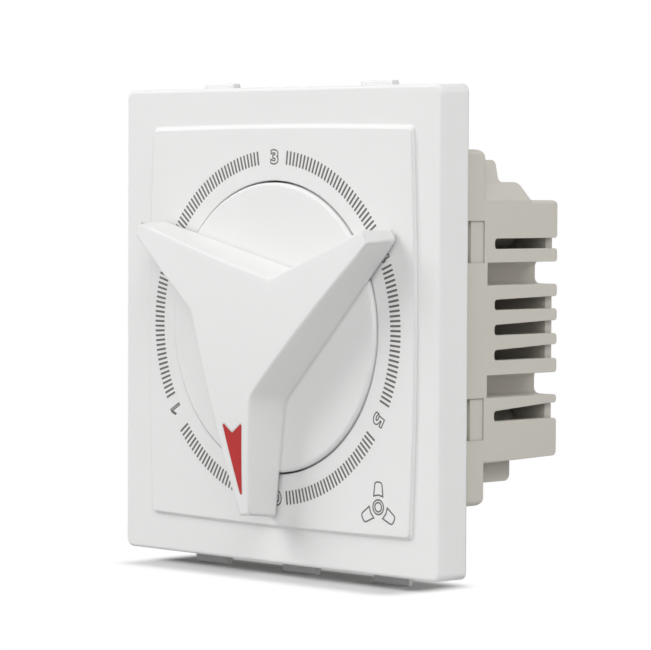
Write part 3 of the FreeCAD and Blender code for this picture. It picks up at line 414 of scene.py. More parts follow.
class Skin(Enum):
    """The kinds of surface, each made by one node group."""

    MOULDED = "Moulded skin"
    METAL = "Drawn metal"
    PAPER = "Pressed paper"

    def tree(self) -> bpy.types.NodeTree:
        """The node group of this surface, built when first asked for."""
        makers = {Skin.MOULDED: moulded_skin_group, Skin.METAL: drawn_metal_group,
                  Skin.PAPER: pressed_paper_group}
        return bpy.data.node_groups.get(self.value) or makers[self]()


# Finishes

@dataclass(frozen=True)
class Finish:
    """A material: one kind of skin with its own values.

    Spread is the range of tint for plastic, and the share of the second colour for metal and paper.
    Painted shade is how far the colour of a hollow narrower than its reach is darkened, shade painted in
    from ambient occlusion.
    """

    name: str
    slot: str
    skin: Skin
    colour: Colour
    spread: float
    roughness: float
    roughness_spread: float
    fine_scale: float
    coarse_scale: float
    grain_height: float
    second_colour: Colour = (0.0, 0.0, 0.0)
    metallic: float = 0.0
    specular: float = 0.5
    coat: float = 0.0
    edge_round: float = 0.0
    crevice: float = 0.0
    crevice_reach: float = 0.0

    def material(self) -> bpy.types.Material:
        """The material of this finish, built when first asked for.

        Returns:
            The node material.
        """
        known = bpy.data.materials.get(self.name)
        if known:
            return known
        material = bpy.data.materials.new(self.name)
        material.use_nodes = True
        sheet = NodeSheet(material.node_tree)
        shader = sheet.tree.nodes["Principled BSDF"]
        group = sheet.add("ShaderNodeGroup", node_tree=self.skin.tree())
        group.inputs[0].default_value = (*self.colour, 1.0)
        values = [self.spread, self.roughness, self.roughness_spread, self.fine_scale, self.coarse_scale]
        if self.skin is not Skin.MOULDED:
            group.inputs[1].default_value = (*self.second_colour, 1.0)
        for socket, value in zip(list(group.inputs)[-len(values):], values):
            socket.default_value = value
        bump = sheet.add("ShaderNodeBump")
        bump.inputs["Strength"].default_value = 1.0
        bump.inputs["Distance"].default_value = self.grain_height
        if self.edge_round:
            edge = sheet.add("ShaderNodeBevel", samples=EDGE_SAMPLES)
            edge.inputs["Radius"].default_value = self.edge_round
            sheet.link(edge.outputs["Normal"], bump.inputs["Normal"])
        sheet.link(group.outputs["Height"], bump.inputs["Height"])
        colour = group.outputs["Colour"]
        # Painted shade: the colour is darkened where ambient occlusion finds a hollow within reach.
        if self.crevice:
            hollow = sheet.add("ShaderNodeAmbientOcclusion", samples=EDGE_SAMPLES, only_local=True)
            hollow.inputs["Distance"].default_value = self.crevice_reach
            open_share = sheet.math("MULTIPLY", hollow.outputs["AO"], self.crevice)
            light = sheet.math("ADD", open_share, 1.0 - self.crevice)
            shade = sheet.add("ShaderNodeVectorMath", operation="SCALE")
            sheet.link(colour, shade.inputs["Vector"])
            sheet.link(light, shade.inputs["Scale"])
            colour = shade.outputs["Vector"]
        sheet.link(colour, shader.inputs["Base Color"])
        sheet.link(group.outputs["Roughness"], shader.inputs["Roughness"])
        sheet.link(bump.outputs["Normal"], shader.inputs["Normal"])
        shader.inputs["Metallic"].default_value = self.metallic
        shader.inputs["Specular IOR Level"].default_value = self.specular
        shader.inputs["Coat Weight"].default_value = self.coat
        material.diffuse_color = (*self.colour, 1.0)
        return material


PLATE_WHITE = Finish(
    "White plate plastic", "white_plastic", Skin.MOULDED, (0.80, 0.80, 0.795), spread=0.03,
    roughness=0.46, roughness_spread=0.10, fine_scale=2600.0, coarse_scale=60.0,
    grain_height=mm(0.0012), specular=0.3, edge_round=mm(0.25))
# Painted shade darkens the knob's hollows, such as the crease where the lever meets the disc.
KNOB_WHITE = Finish(
    "White knob plastic", "knob_plastic", Skin.MOULDED, (0.80, 0.80, 0.795), spread=0.03,
    roughness=0.52, roughness_spread=0.10, fine_scale=3200.0, coarse_scale=70.0,
    grain_height=mm(0.0012), specular=0.3, edge_round=mm(0.45), crevice=0.25, crevice_reach=mm(0.5))
POINTER_RED = Finish(
    "Red pointer plastic", "pointer_red", Skin.MOULDED, (0.455, 0.022, 0.021), spread=0.10,
    roughness=0.42, roughness_spread=0.12, fine_scale=3800.0, coarse_scale=240.0,
    grain_height=mm(0.0016), specular=0.3)
# Painted shade darkens the housing's hollows: its windows, grooves and recesses.
HOUSING_BEIGE = Finish(
    "Beige housing plastic", "housing_plastic", Skin.MOULDED, (0.58, 0.555, 0.50), spread=0.05,
    roughness=0.55, roughness_spread=0.14, fine_scale=2200.0, coarse_scale=90.0,
    grain_height=mm(0.0025), edge_round=mm(0.10), crevice=0.6, crevice_reach=mm(0.8))
DIAL_INK = Finish(
    "Grey dial ink", "white_plastic", Skin.MOULDED, (0.13, 0.12, 0.115), spread=0.30,
    roughness=0.50, roughness_spread=0.15, fine_scale=5200.0, coarse_scale=420.0,
    grain_height=mm(0.0008))
SWITCH_BLACK = Finish(
    "Black switch plastic", "dark_plastic", Skin.MOULDED, (0.035, 0.035, 0.036), spread=0.20,
    roughness=0.52, roughness_spread=0.14, fine_scale=2400.0, coarse_scale=120.0,
    grain_height=mm(0.002))
ROTOR_NATURAL = Finish(
    "Natural rotor plastic", "rotor_plastic", Skin.MOULDED, (0.62, 0.61, 0.58), spread=0.06,
    roughness=0.38, roughness_spread=0.12, fine_scale=2600.0, coarse_scale=140.0,
    grain_height=mm(0.0012))
CAPACITOR_GREY = Finish(
    "Grey capacitor case", "capacitor_case", Skin.MOULDED, (0.62, 0.60, 0.55), spread=0.08,
    roughness=0.40, roughness_spread=0.12, fine_scale=2400.0, coarse_scale=110.0,
    grain_height=mm(0.0016))
RESISTOR_BLUE = Finish(
    "Blue resistor lacquer", "resistor_coat", Skin.MOULDED, (0.20, 0.32, 0.40), spread=0.14,
    roughness=0.30, roughness_spread=0.12, fine_scale=2800.0, coarse_scale=300.0,
    grain_height=mm(0.003), coat=0.4)
WAFER_BROWN = Finish(
    "Brown contact wafer", "laminate", Skin.PAPER, (0.20, 0.095, 0.036), spread=0.9,
    roughness=0.55, roughness_spread=0.16, fine_scale=1800.0, coarse_scale=260.0,
    grain_height=mm(0.003), second_colour=(0.34, 0.18, 0.08))
BOARD_TAN = Finish(
    "Tan board laminate", "board", Skin.PAPER, (0.30, 0.195, 0.085), spread=0.9,
    roughness=0.50, roughness_spread=0.16, fine_scale=1500.0, coarse_scale=220.0,
    grain_height=mm(0.003), second_colour=(0.46, 0.33, 0.17))
TERMINAL_BRASS = Finish(
    "Plain brass", "brass", Skin.METAL, (0.74, 0.55, 0.26), spread=0.5,
    roughness=0.28, roughness_spread=0.16, fine_scale=2400.0, coarse_scale=300.0,
    grain_height=mm(0.0015), second_colour=(0.42, 0.27, 0.10), metallic=1.0)
PLATED_STEEL = Finish(
    "Zinc plated steel", "steel", Skin.METAL, (0.66, 0.66, 0.66), spread=0.4,
    roughness=0.30, roughness_spread=0.18, fine_scale=2600.0, coarse_scale=340.0,
    grain_height=mm(0.0015), second_colour=(0.45, 0.46, 0.50), metallic=1.0)


# Pieces carried over from the solids

@dataclass
class ShownSolid:
    """A solid of the frame, shown as a merged copy with smooth rounds and flat faces."""

    node: str
    body: str
    finish: Finish
    creases: tuple[Callable[[Vector], bool], ...] = ()
    fit: Callable[[bpy.types.Object], None] | None = None
    smooth_angle: float = 30.0
    merge_gap: float = mm(0.0002)

    def build(self) -> bpy.types.Object:
        """Copy the solid's mesh, merge its triangles and smooth its rounds.

        Returns:
            The piece that stands for the solid.
        """
        only(frame["nodes"][self.node])
        bpy.ops.object.duplicate()
        piece = bpy.context.view_layer.objects.active
        piece.name = f"{self.node}_skin"
        piece.data.name = piece.name
        del piece["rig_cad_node"]
        if piece.data.has_custom_normals:
            bpy.ops.mesh.customdata_custom_splitnormals_clear()
        open_mesh(piece, Select.CORNERS)
        bpy.ops.mesh.remove_doubles(threshold=self.merge_gap)
        if self.fit:
            self.fit(piece)
        for test in self.creases:
            pick(piece, test)
            bpy.ops.mesh.mark_sharp()
        close_mesh()
        bpy.ops.object.shade_smooth_by_angle(angle=math.radians(self.smooth_angle))
        weighting = piece.modifiers.new("Even rounds", "WEIGHTED_NORMAL")
        weighting.keep_sharp = True
        bpy.ops.object.modifier_apply(modifier=weighting.name)
        return piece

    def show(self) -> bpy.types.Object:
        """Build the piece, dress it and let it stand for its solid.

        Returns:
            The dressed piece.
        """
        piece = self.build()
        dress(piece, self.finish.material())
        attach(piece, self.body)
        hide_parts(self.node)
        return piece


@dataclass
class Assembly:
    """A sub-assembly whose pieces ride on one body."""

    body: str

    def solids(self) -> dict[str, Finish]:
        """The solids of this sub-assembly with their finishes."""
        return {}

    def build(self) -> list[bpy.types.Object]:
        """Show every solid of this sub-assembly.

        Returns:
            The pieces.
        """
        return [ShownSolid(node, self.body, finish).show() for node, finish in self.solids().items()]


@dataclass(frozen=True)
class PanelEdge:
    """One line round the panel's border: its half sizes in the solid and in the photo, and its shift."""

    level: float
    half_width: float
    half_height: float
    shown_half_width: float
    shown_half_height: float
    shift_x: float
    shift_z: float


@dataclass
class FrontPlate(Assembly):
    """The moulded plate, whose panel, rim and tabs are fitted to the photograph."""

    border_half_width: float = mm(20.5)
    border_half_height: float = mm(21.5)
    recess_radius: float = mm(15.5)
    face_edge: PanelEdge = PanelEdge(
        level=mm(-3.75), half_width=mm(18.95), half_height=mm(20.1), shown_half_width=mm(18.85),
        shown_half_height=mm(19.95), shift_x=mm(0.45), shift_z=mm(0.05))
    slope_line: PanelEdge = PanelEdge(
        level=mm(-3.56), half_width=mm(19.35), half_height=mm(20.5), shown_half_width=mm(18.9),
        shown_half_height=mm(20.118), shift_x=mm(0.45), shift_z=mm(0.082))
    foot_edge: PanelEdge = PanelEdge(
        level=mm(-3.37), half_width=mm(19.75), half_height=mm(20.9), shown_half_width=mm(18.95),
        shown_half_height=mm(20.285), shift_x=mm(0.45), shift_z=mm(0.115))
    panel_corner: float = mm(1.6)
    shown_panel_corner: float = mm(0.5)
    rim_foot: float = mm(22.5)
    rim_front: float = mm(-1.0)
    top_front_stretch: float = 1.2
    bottom_rear_stretch: float = 0.78
    tab_level: float = mm(24.6)
    top_tab_places: tuple[float, float] = (mm(-11.55), mm(11.55))
    top_tab_half_width: float = mm(2.4)
    top_tab_shift: float = mm(-0.7)
    top_tab_drop: float = mm(-0.2)
    top_tab_depth: float = 0.56
    foot_tab_depth: float = 0.41
    near: float = mm(0.02)
    level_gap: float = mm(0.002)

    def on_border(self, place: Vector, level: float) -> bool:
        """Whether a corner lies on one edge of the panel's sloped border.

        Args:
            place: The corner's place.
            level: Depth of the edge along Y.

        Returns:
            True where the corner lies on that edge.
        """
        inside = abs(place.x) < self.border_half_width and abs(place.z) < self.border_half_height
        outside = math.hypot(place.x, place.z) > self.recess_radius
        return inside and outside and abs(place.y - level) < self.level_gap

    def fit_edge(self, piece: bpy.types.Object, edge: PanelEdge) -> None:
        """Tighten the corners of one edge of the panel and move it to its place in the photograph.

        Args:
            piece: The plate, open in edit mode.
            edge: The edge.
        """
        tighter = self.shown_panel_corner / self.panel_corner
        arc_x = edge.half_width - self.panel_corner - self.near
        arc_z = edge.half_height - self.panel_corner - self.near
        for side in (-1.0, 1.0):
            for end in (-1.0, 1.0):
                pick(piece, lambda place: self.on_border(place, edge.level)
                     and side * place.x > arc_x and end * place.z > arc_z)
                bpy.ops.transform.resize(value=(tighter, 1.0, tighter), center_override=(
                    side * edge.half_width, edge.level, end * edge.half_height))
        pick(piece, lambda place: self.on_border(place, edge.level))
        bpy.ops.transform.resize(
            value=(edge.shown_half_width / edge.half_width, 1.0, edge.shown_half_height / edge.half_height),
            center_override=(0.0, edge.level, 0.0))
        bpy.ops.transform.translate(value=(edge.shift_x, 0.0, edge.shift_z))

    def fit_rim(self, piece: bpy.types.Object) -> None:
        """Raise the rim's top front edge and lift its bottom rear edge.

        Args:
            piece: The plate, open in edit mode.
        """
        pick(piece, lambda place: place.z > self.rim_foot and place.y < self.rim_front)
        bpy.ops.transform.resize(value=(1.0, 1.0, self.top_front_stretch),
                                 center_override=(0.0, 0.0, self.rim_foot))
        pick(piece, lambda place: -self.tab_level < place.z < -self.rim_foot and abs(place.y) < self.near)
        bpy.ops.transform.resize(value=(1.0, 1.0, self.bottom_rear_stretch),
                                 center_override=(0.0, 0.0, -self.rim_foot))

    def fit_tabs(self, piece: bpy.types.Object) -> None:
        """Thin the snap tabs and move the upper ones.

        Args:
            piece: The plate, open in edit mode.
        """
        for middle in self.top_tab_places:
            pick(piece, lambda place: place.z > self.rim_foot and place.y > -self.near
                 and abs(place.x - middle) < self.top_tab_half_width)
            bpy.ops.transform.translate(value=(self.top_tab_shift, 0.0, 0.0))
        pick(piece, lambda place: place.z > self.tab_level)
        bpy.ops.transform.resize(value=(1.0, self.top_tab_depth, 1.0), center_override=ORIGIN)
        bpy.ops.transform.translate(value=(0.0, 0.0, self.top_tab_drop))
        pick(piece, lambda place: place.z < -self.tab_level)
        bpy.ops.transform.resize(value=(1.0, self.foot_tab_depth, 1.0), center_override=ORIGIN)

    def fit(self, piece: bpy.types.Object) -> None:
        """Fit panel, rim and tabs to the photograph.

        Args:
            piece: The plate, open in edit mode.
        """
        for edge in (self.face_edge, self.slope_line, self.foot_edge):
            self.fit_edge(piece, edge)
        self.fit_rim(piece)
        self.fit_tabs(piece)

    def build(self) -> list[bpy.types.Object]:
        """Show the plate with crisp edges along the panel's sloped border.

        Returns:
            The plate.
        """
        creases = (lambda place: self.on_border(place, self.face_edge.level),
                   lambda place: self.on_border(place, self.foot_edge.level))
        return [ShownSolid("front_plate", self.body, PLATE_WHITE, creases, self.fit).show()]


@dataclass
class Knob(Assembly):
    """The pinwheel knob with its red pointer and the shaft and rotor that it turns.

    Angles run clockwise from the bottom. The arms' tips are wider at the crown here than in the solid.
    """

    arm_reaches: tuple[float, ...] = (mm(19.25), mm(19.35), mm(19.95))
    arm_clocks: tuple[float, ...] = (-0.55, 121.3, 240.9)
    notch_clocks: tuple[float, ...] = (-16.8, 103.2, 223.2)
    notch_radius: float = mm(7.7)
    foot_level: float = mm(-4.15)
    crown_level: float = mm(-9.1)
    crown_inset: float = mm(0.7)
    tip_half_width: float = mm(0.65)
    tip_taper: float = mm(0.42)
    side_depth: float = mm(0.3)
    side_end: float = 1.1
    tip_spread: float = mm(0.42)
    spread_levels: tuple[float, ...] = (mm(-4.9), mm(-5.8), mm(-6.7), mm(-7.5))

    def side_line(self, arm: int, side: int, level: float) -> tuple[Vector, Vector]:
        """The line along one side of an arm at one height.

        Args:
            arm: Number of the arm, clockwise from the bottom.
            side: 1 for the side that leads clockwise, -1 for the other.
            level: Depth along Y.

        Returns:
            The line's ends at the notch and at the tip, as X and Z.
        """
        share = (self.foot_level - level) / (self.foot_level - self.crown_level)
        inset = self.crown_inset * share
        notch = math.radians(self.notch_clocks[(arm + (side > 0)) % len(self.notch_clocks)])
        turn = math.radians(self.arm_clocks[arm])
        outward = Vector((-math.sin(turn), -math.cos(turn)))
        across = Vector((-math.cos(turn), math.sin(turn))) * side
        start = Vector((-math.sin(notch), -math.cos(notch))) * (self.notch_radius - inset)
        half_width = self.tip_half_width - self.tip_taper * share
        tip = outward * (self.arm_reaches[arm] - inset) + across * half_width
        return start, tip

    def on_side(self, place: Vector, arm: int, side: int) -> bool:
        """Whether a corner lies along one side of an arm.

        Args:
            place: The corner's place.
            arm: Number of the arm.
            side: 1 or -1, as for the side's line.

        Returns:
            True where the corner lies close to that side's line.
        """
        start, tip = self.side_line(arm, side, place.y)
        along = tip - start
        flat = Vector((place.x, place.z)) - start
        share = flat.dot(along) / along.length_squared
        turn = math.radians(self.arm_clocks[arm])
        beyond_axis = side * Vector((-math.cos(turn), math.sin(turn))).dot(flat + start) > 0.0
        close = abs(flat.cross(along)) / along.length < self.side_depth
        return 0.0 < share < self.side_end and close and beyond_axis

    def widen_tips(self, piece: bpy.types.Object) -> None:
        """Turn the sides of the arms outward about the notches, more towards the crown.

        Args:
            piece: The knob, open in edit mode.
        """
        for arm in range(len(self.arm_clocks)):
            for side in (-1, 1):
                start, tip = self.side_line(arm, side, self.crown_level)
                turn = -side * self.tip_spread / (tip - start).length / len(self.spread_levels)
                for level in self.spread_levels:
                    pick(piece, lambda place: place.y < level and self.on_side(place, arm, side))
                    bpy.ops.transform.rotate(value=turn, orient_axis="Y",
                                             center_override=(start.x, self.crown_level, start.y))

    def build(self) -> list[bpy.types.Object]:
        """Show the knob with its wider tips, and the other turning pieces.

        Returns:
            The pieces.
        """
        return [ShownSolid("knob", self.body, KNOB_WHITE, (), self.widen_tips).show()] + super().build()

    def solids(self) -> dict[str, Finish]:
        """The turning pieces behind and in the knob."""
        return {
            "pointer_inlay": POINTER_RED,
            "drive_shaft": PLATED_STEEL,
            "detent_rotor": ROTOR_NATURAL,
            "wiper_contact": TERMINAL_BRASS,
        }


@dataclass
class RearHousing(Assembly):
    """The vented housing behind the plate."""

    def solids(self) -> dict[str, Finish]:
        """The housing alone."""
        return {"rear_housing": HOUSING_BEIGE}


@dataclass
class RotarySwitch(Assembly):
    """The fixed pieces of the switch behind the knob."""

    def solids(self) -> dict[str, Finish]:
        """Base, bush, wafer, contacts, spring and rivets."""
        return {
            "switch_base": SWITCH_BLACK,
            "spindle_bush": TERMINAL_BRASS,
            "contact_wafer": WAFER_BROWN,
            "fixed_contacts": TERMINAL_BRASS,
            "common_ring": TERMINAL_BRASS,
            "detent_spring": PLATED_STEEL,
            "wafer_rivets": PLATED_STEEL,
        }


@dataclass
class CircuitBoard(Assembly):
    """The board with its capacitors, resistors, terminals and screws."""

    def solids(self) -> dict[str, Finish]:
        """Board and what it carries."""
        return {
            "circuit_board": BOARD_TAN,
            "capacitor_large": CAPACITOR_GREY,
            "capacitor_small": CAPACITOR_GREY,
            "bleed_resistors": RESISTOR_BLUE,
            "surge_resistor": RESISTOR_BLUE,
            "line_terminal": TERMINAL_BRASS,
            "load_terminal": TERMINAL_BRASS,
            "terminal_screws": PLATED_STEEL,
            "board_screws": PLATED_STEEL,
        }


# Printed dial

@dataclass(frozen=True)
class DialSector:
    """One speed of the dial: its number and its run of ticks, in degrees clockwise from the bottom."""

    number: float
    first_tick: float
    ticks: int
    pitch: float


@dataclass
class DialPrint:
    """Ticks, hollow numbers and the fan sign printed on the plate's panel."""

    body: str = "casing"
    panel_face: float = mm(-3.75)
    ink_rise: float = mm(0.012)
    ink_sink: float = mm(0.004)
    tick_circle: float = mm(17.3)
    tick_length: float = mm(1.43)
    tick_width: float = mm(0.22)
    tick_round: float = mm(0.08)
    tick_round_steps: int = 2
    sectors: tuple[DialSector, ...] = (
        DialSector(-1.95, 5.32, 29, 1.632), DialSector(58.4, 64.05, 30, 1.644),
        DialSector(119.0, 124.67, 30, 1.633), DialSector(180.1, 186.2, 30, 1.644),
        DialSector(243.8, 248.03, 29, 1.628), DialSector(299.8, 306.3, 30, 1.62))
    number_size: float = mm(1.83)
    number_widening: float = 1.38
    number_swell: float = mm(0.08)
    number_line: float = mm(0.145)
    number_line_steps: int = 1
    number_steps: int = 6
    one_height: float = mm(1.6)
    one_stem: float = mm(0.36)
    one_flag: float = mm(0.53)
    one_flag_drop: float = mm(0.36)
    sign_place: tuple[float, float] = (mm(15.05), mm(-17.19))
    hub_radii: tuple[float, float] = (mm(0.73), mm(0.46))
    hub_sides: int = 40
    sign_line: float = mm(0.15)
    blade_root: float = mm(0.98)
    blade_reach: float = mm(2.56)
    blade_root_width: float = mm(1.44)
    blade_tip_width: float = mm(1.07)
    blade_dish: float = mm(0.16)
    blade_tip_round: float = mm(0.36)
    blade_round_steps: int = 6
    blades: int = 3
    near: float = mm(0.01)

    def stand(self, piece: bpy.types.Object, x: float = 0.0, z: float = 0.0, turn: float = 0.0) -> None:
        """Turn a flat piece upright against the panel and put it in its place.

        Args:
            piece: A piece drawn in its own XY plane with its ink along Z.
            x: Place across the panel.
            z: Height on the panel.
            turn: Turn in the panel's plane in degrees, anticlockwise from the front.
        """
        piece.rotation_mode = "XYZ"
        piece.rotation_euler = (math.radians(90.0), 0.0, 0.0)
        if turn:
            flat = Quaternion((0.0, -1.0, 0.0), math.radians(turn))
            piece.rotation_euler = (flat @ piece.rotation_euler.to_quaternion()).to_euler()
        piece.location = (x, self.panel_face + self.ink_sink, z)
        settle(piece)

    def tick(self) -> bpy.types.Object:
        """One tick at the bottom of the dial, lying flat.

        Returns:
            The tick.
        """
        piece = flat_sheet(self.tick_width, self.tick_length)
        bpy.ops.mesh.bevel(affect="VERTICES", offset=self.tick_round, segments=self.tick_round_steps,
                           profile=0.5)
        bpy.ops.mesh.select_all(action="SELECT")
        thicken(self.ink_rise + self.ink_sink)
        bpy.ops.mesh.select_all(action="SELECT")
        bpy.ops.mesh.normals_make_consistent(inside=False)
        bpy.ops.transform.translate(value=(0.0, -self.tick_circle, 0.0))
        close_mesh()
        return piece

    def tick_run(self, tick: bpy.types.Object, sector: DialSector) -> bpy.types.Object:
        """The ticks between two numbers, spun from a copy of one tick.

        Args:
            tick: The tick to copy.
            sector: Where the run starts and how many ticks it has.

        Returns:
            The run of ticks.
        """
        only(tick)
        bpy.ops.object.duplicate()
        run = bpy.context.view_layer.objects.active
        run.rotation_euler = (0.0, 0.0, -math.radians(sector.first_tick))
        settle(run)
        open_mesh(run, Select.CORNERS)
        steps = sector.ticks - 1
        bpy.ops.mesh.spin(steps=steps, dupli=True, angle=math.radians(sector.pitch * steps),
                          center=ORIGIN, axis=(0.0, 0.0, 1.0))
        close_mesh()
        return run

    def ticks(self) -> bpy.types.Object:
        """All ticks of the dial.

        Returns:
            The ring of ticks.
        """
        tick = self.tick()
        runs = [self.tick_run(tick, sector) for sector in self.sectors]
        bpy.data.objects.remove(tick)
        ring = join(runs, "dial_ticks")
        self.stand(ring)
        return ring

    def round_figure(self, figure: int) -> bpy.types.Object:
        """A hollow figure lying flat, drawn wide.

        Args:
            figure: The number to draw.

        Returns:
            The figure's outline as a fine tube.
        """
        bpy.ops.object.select_all(action="DESELECT")
        bpy.ops.object.text_add(location=ORIGIN)
        text = bpy.context.view_layer.objects.active
        text.data.body = str(figure)
        text.data.size = self.number_size
        text.data.fill_mode = "NONE"
        text.data.offset = self.number_swell
        text.data.bevel_depth = self.number_line / 2
        text.data.bevel_resolution = self.number_line_steps
        text.data.resolution_u = self.number_steps
        only(text)
        bpy.ops.object.convert(target="CURVE")
        bpy.ops.object.mode_set(mode="EDIT")
        bpy.ops.curve.select_all(action="SELECT")
        bpy.ops.transform.resize(value=(self.number_widening, 1.0, 1.0), center_override=ORIGIN)
        bpy.ops.object.mode_set(mode="OBJECT")
        bpy.ops.object.convert(target="MESH")
        return bpy.context.view_layer.objects.active

    def figure_one(self) -> bpy.types.Object:
        """The hollow figure 1 lying flat: a stem with a slanting flag.

        Returns:
            The figure's outline.
        """
        piece = flat_sheet(self.one_stem, self.one_height)
        flag_root = self.one_height / 2 - self.one_stem
        bpy.ops.mesh.bisect(plane_co=(0.0, flag_root, 0.0), plane_no=(0.0, 1.0, 0.0))
        pick(piece, lambda place: place.x < 0.0 and place.y > flag_root - self.near)
        bpy.ops.mesh.extrude_region_move(
            TRANSFORM_OT_translate={"value": (-self.one_flag, -self.one_flag_drop, 0.0)})
        bpy.ops.mesh.select_mode(type=Select.FACES.value)
        bpy.ops.mesh.select_all(action="SELECT")
        self.hollow_out()
        close_mesh()
        return piece

    def number(self, figure: int) -> bpy.types.Object:
        """One hollow number in its place on the dial.

        Args:
            figure: The number.

        Returns:
            The printed outline of the number.
        """
        piece = self.figure_one() if figure == 1 else self.round_figure(figure)
        low = Vector([min(corner.co[axis] for corner in piece.data.vertices) for axis in range(3)])
        high = Vector([max(corner.co[axis] for corner in piece.data.vertices) for axis in range(3)])
        ink = self.ink_rise + self.ink_sink
        open_mesh(piece, Select.CORNERS)
        bpy.ops.transform.translate(value=-(low + high) / 2)
        bpy.ops.transform.resize(value=(1.0, 1.0, ink / (high.z - low.z)), center_override=ORIGIN)
        bpy.ops.transform.translate(value=(0.0, 0.0, ink / 2))
        close_mesh()
        clock = self.sectors[figure].number
        turn = math.radians(clock)
        self.stand(piece, -self.tick_circle * math.sin(turn), -self.tick_circle * math.cos(turn),
                   180.0 - clock)
        piece.name = f"dial_number_{figure}"
        return piece

    def hub_ring(self, radius: float) -> bpy.types.Object:
        """One ring of the fan sign's hub.

        Args:
            radius: Radius of the middle of the line.

        Returns:
            The flat ring, raised to the ink's height.
        """
        bpy.ops.object.select_all(action="DESELECT")
        bpy.ops.mesh.primitive_circle_add(vertices=self.hub_sides, radius=radius + self.sign_line / 2,
                                          fill_type="NGON")
        piece = bpy.context.view_layer.objects.active
        open_mesh(piece, Select.FACES)
        self.hollow_out()
        close_mesh()
        return piece

    def hollow_out(self) -> None:
        """Leave only the line along the selected face's border, raised to the ink's height."""
        bpy.ops.mesh.inset(thickness=self.sign_line, depth=0.0, use_even_offset=True)
        bpy.ops.mesh.delete(type="FACE")
        bpy.ops.mesh.select_all(action="SELECT")
        thicken(self.ink_rise + self.ink_sink)
        bpy.ops.mesh.select_all(action="SELECT")
        bpy.ops.mesh.normals_make_consistent(inside=False)

    def blade(self, turn: float) -> bpy.types.Object:
        """One outlined blade of the fan sign.

        Args:
            turn: Place round the hub in degrees, anticlockwise from the top.

        Returns:
            The blade's raised outline.
        """
        length = self.blade_reach - self.blade_root
        piece = flat_sheet(self.blade_root_width, length)
        bpy.ops.transform.translate(value=(0.0, length / 2, 0.0))
        pick(piece, lambda place: place.y > length / 2)
        bpy.ops.transform.resize(value=(self.blade_tip_width / self.blade_root_width, 1.0, 1.0),
                                 center_override=(0.0, length, 0.0))
        bpy.ops.mesh.bevel(affect="VERTICES", offset=self.blade_tip_round, segments=self.blade_round_steps,
                           profile=0.5)
        pick(piece, lambda place: place.y < self.near)
        bpy.ops.mesh.subdivide(number_cuts=1)
        pick(piece, lambda place: place.y < self.near and abs(place.x) < self.near)
        bpy.ops.transform.translate(value=(0.0, self.blade_dish, 0.0))
        bpy.ops.mesh.select_all(action="SELECT")
        bpy.ops.transform.translate(value=(0.0, self.blade_root, 0.0))
        bpy.ops.mesh.select_mode(type=Select.FACES.value)
        bpy.ops.mesh.select_all(action="SELECT")
        self.hollow_out()
        close_mesh()
        piece.rotation_euler = (0.0, 0.0, math.radians(turn))
        settle(piece)
        return piece

    def fan_sign(self) -> bpy.types.Object:
        """The fan sign in the panel's lower corner.

        Returns:
            Hub and blades as one piece.
        """
        parts = [self.hub_ring(radius) for radius in self.hub_radii]
        parts += [self.blade(360.0 / self.blades * index) for index in range(self.blades)]
        sign = join(parts, "fan_sign")
        self.stand(sign, *self.sign_place)
        return sign

    def build(self) -> list[bpy.types.Object]:
        """Print the dial.

        Returns:
            The printed pieces.
        """
        pieces = [self.ticks(), self.fan_sign()]
        pieces += [self.number(figure) for figure in range(len(self.sectors))]
        for piece in pieces:
            piece.data.name = piece.name
            dress(piece, DIAL_INK.material())
            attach(piece, self.body)
        return pieces


# Studio

@dataclass(frozen=True)
class Softbox:
    """A large square lamp that faces the object."""

    name: str
    place: tuple[float, float, float]
    size: float
    power: float

    def hang(self) -> None:
        """Put the lamp in its place."""
        data = bpy.data.lights.new(self.name, "AREA")
        data.shape = "SQUARE"
        data.size = self.size
        data.energy = self.power
        lamp = bpy.data.objects.new(self.name, data)
        lamp.location = self.place
        lamp.rotation_euler = (-Vector(self.place)).to_track_quat("-Z", "Y").to_euler()
        bpy.context.scene.collection.objects.link(lamp)


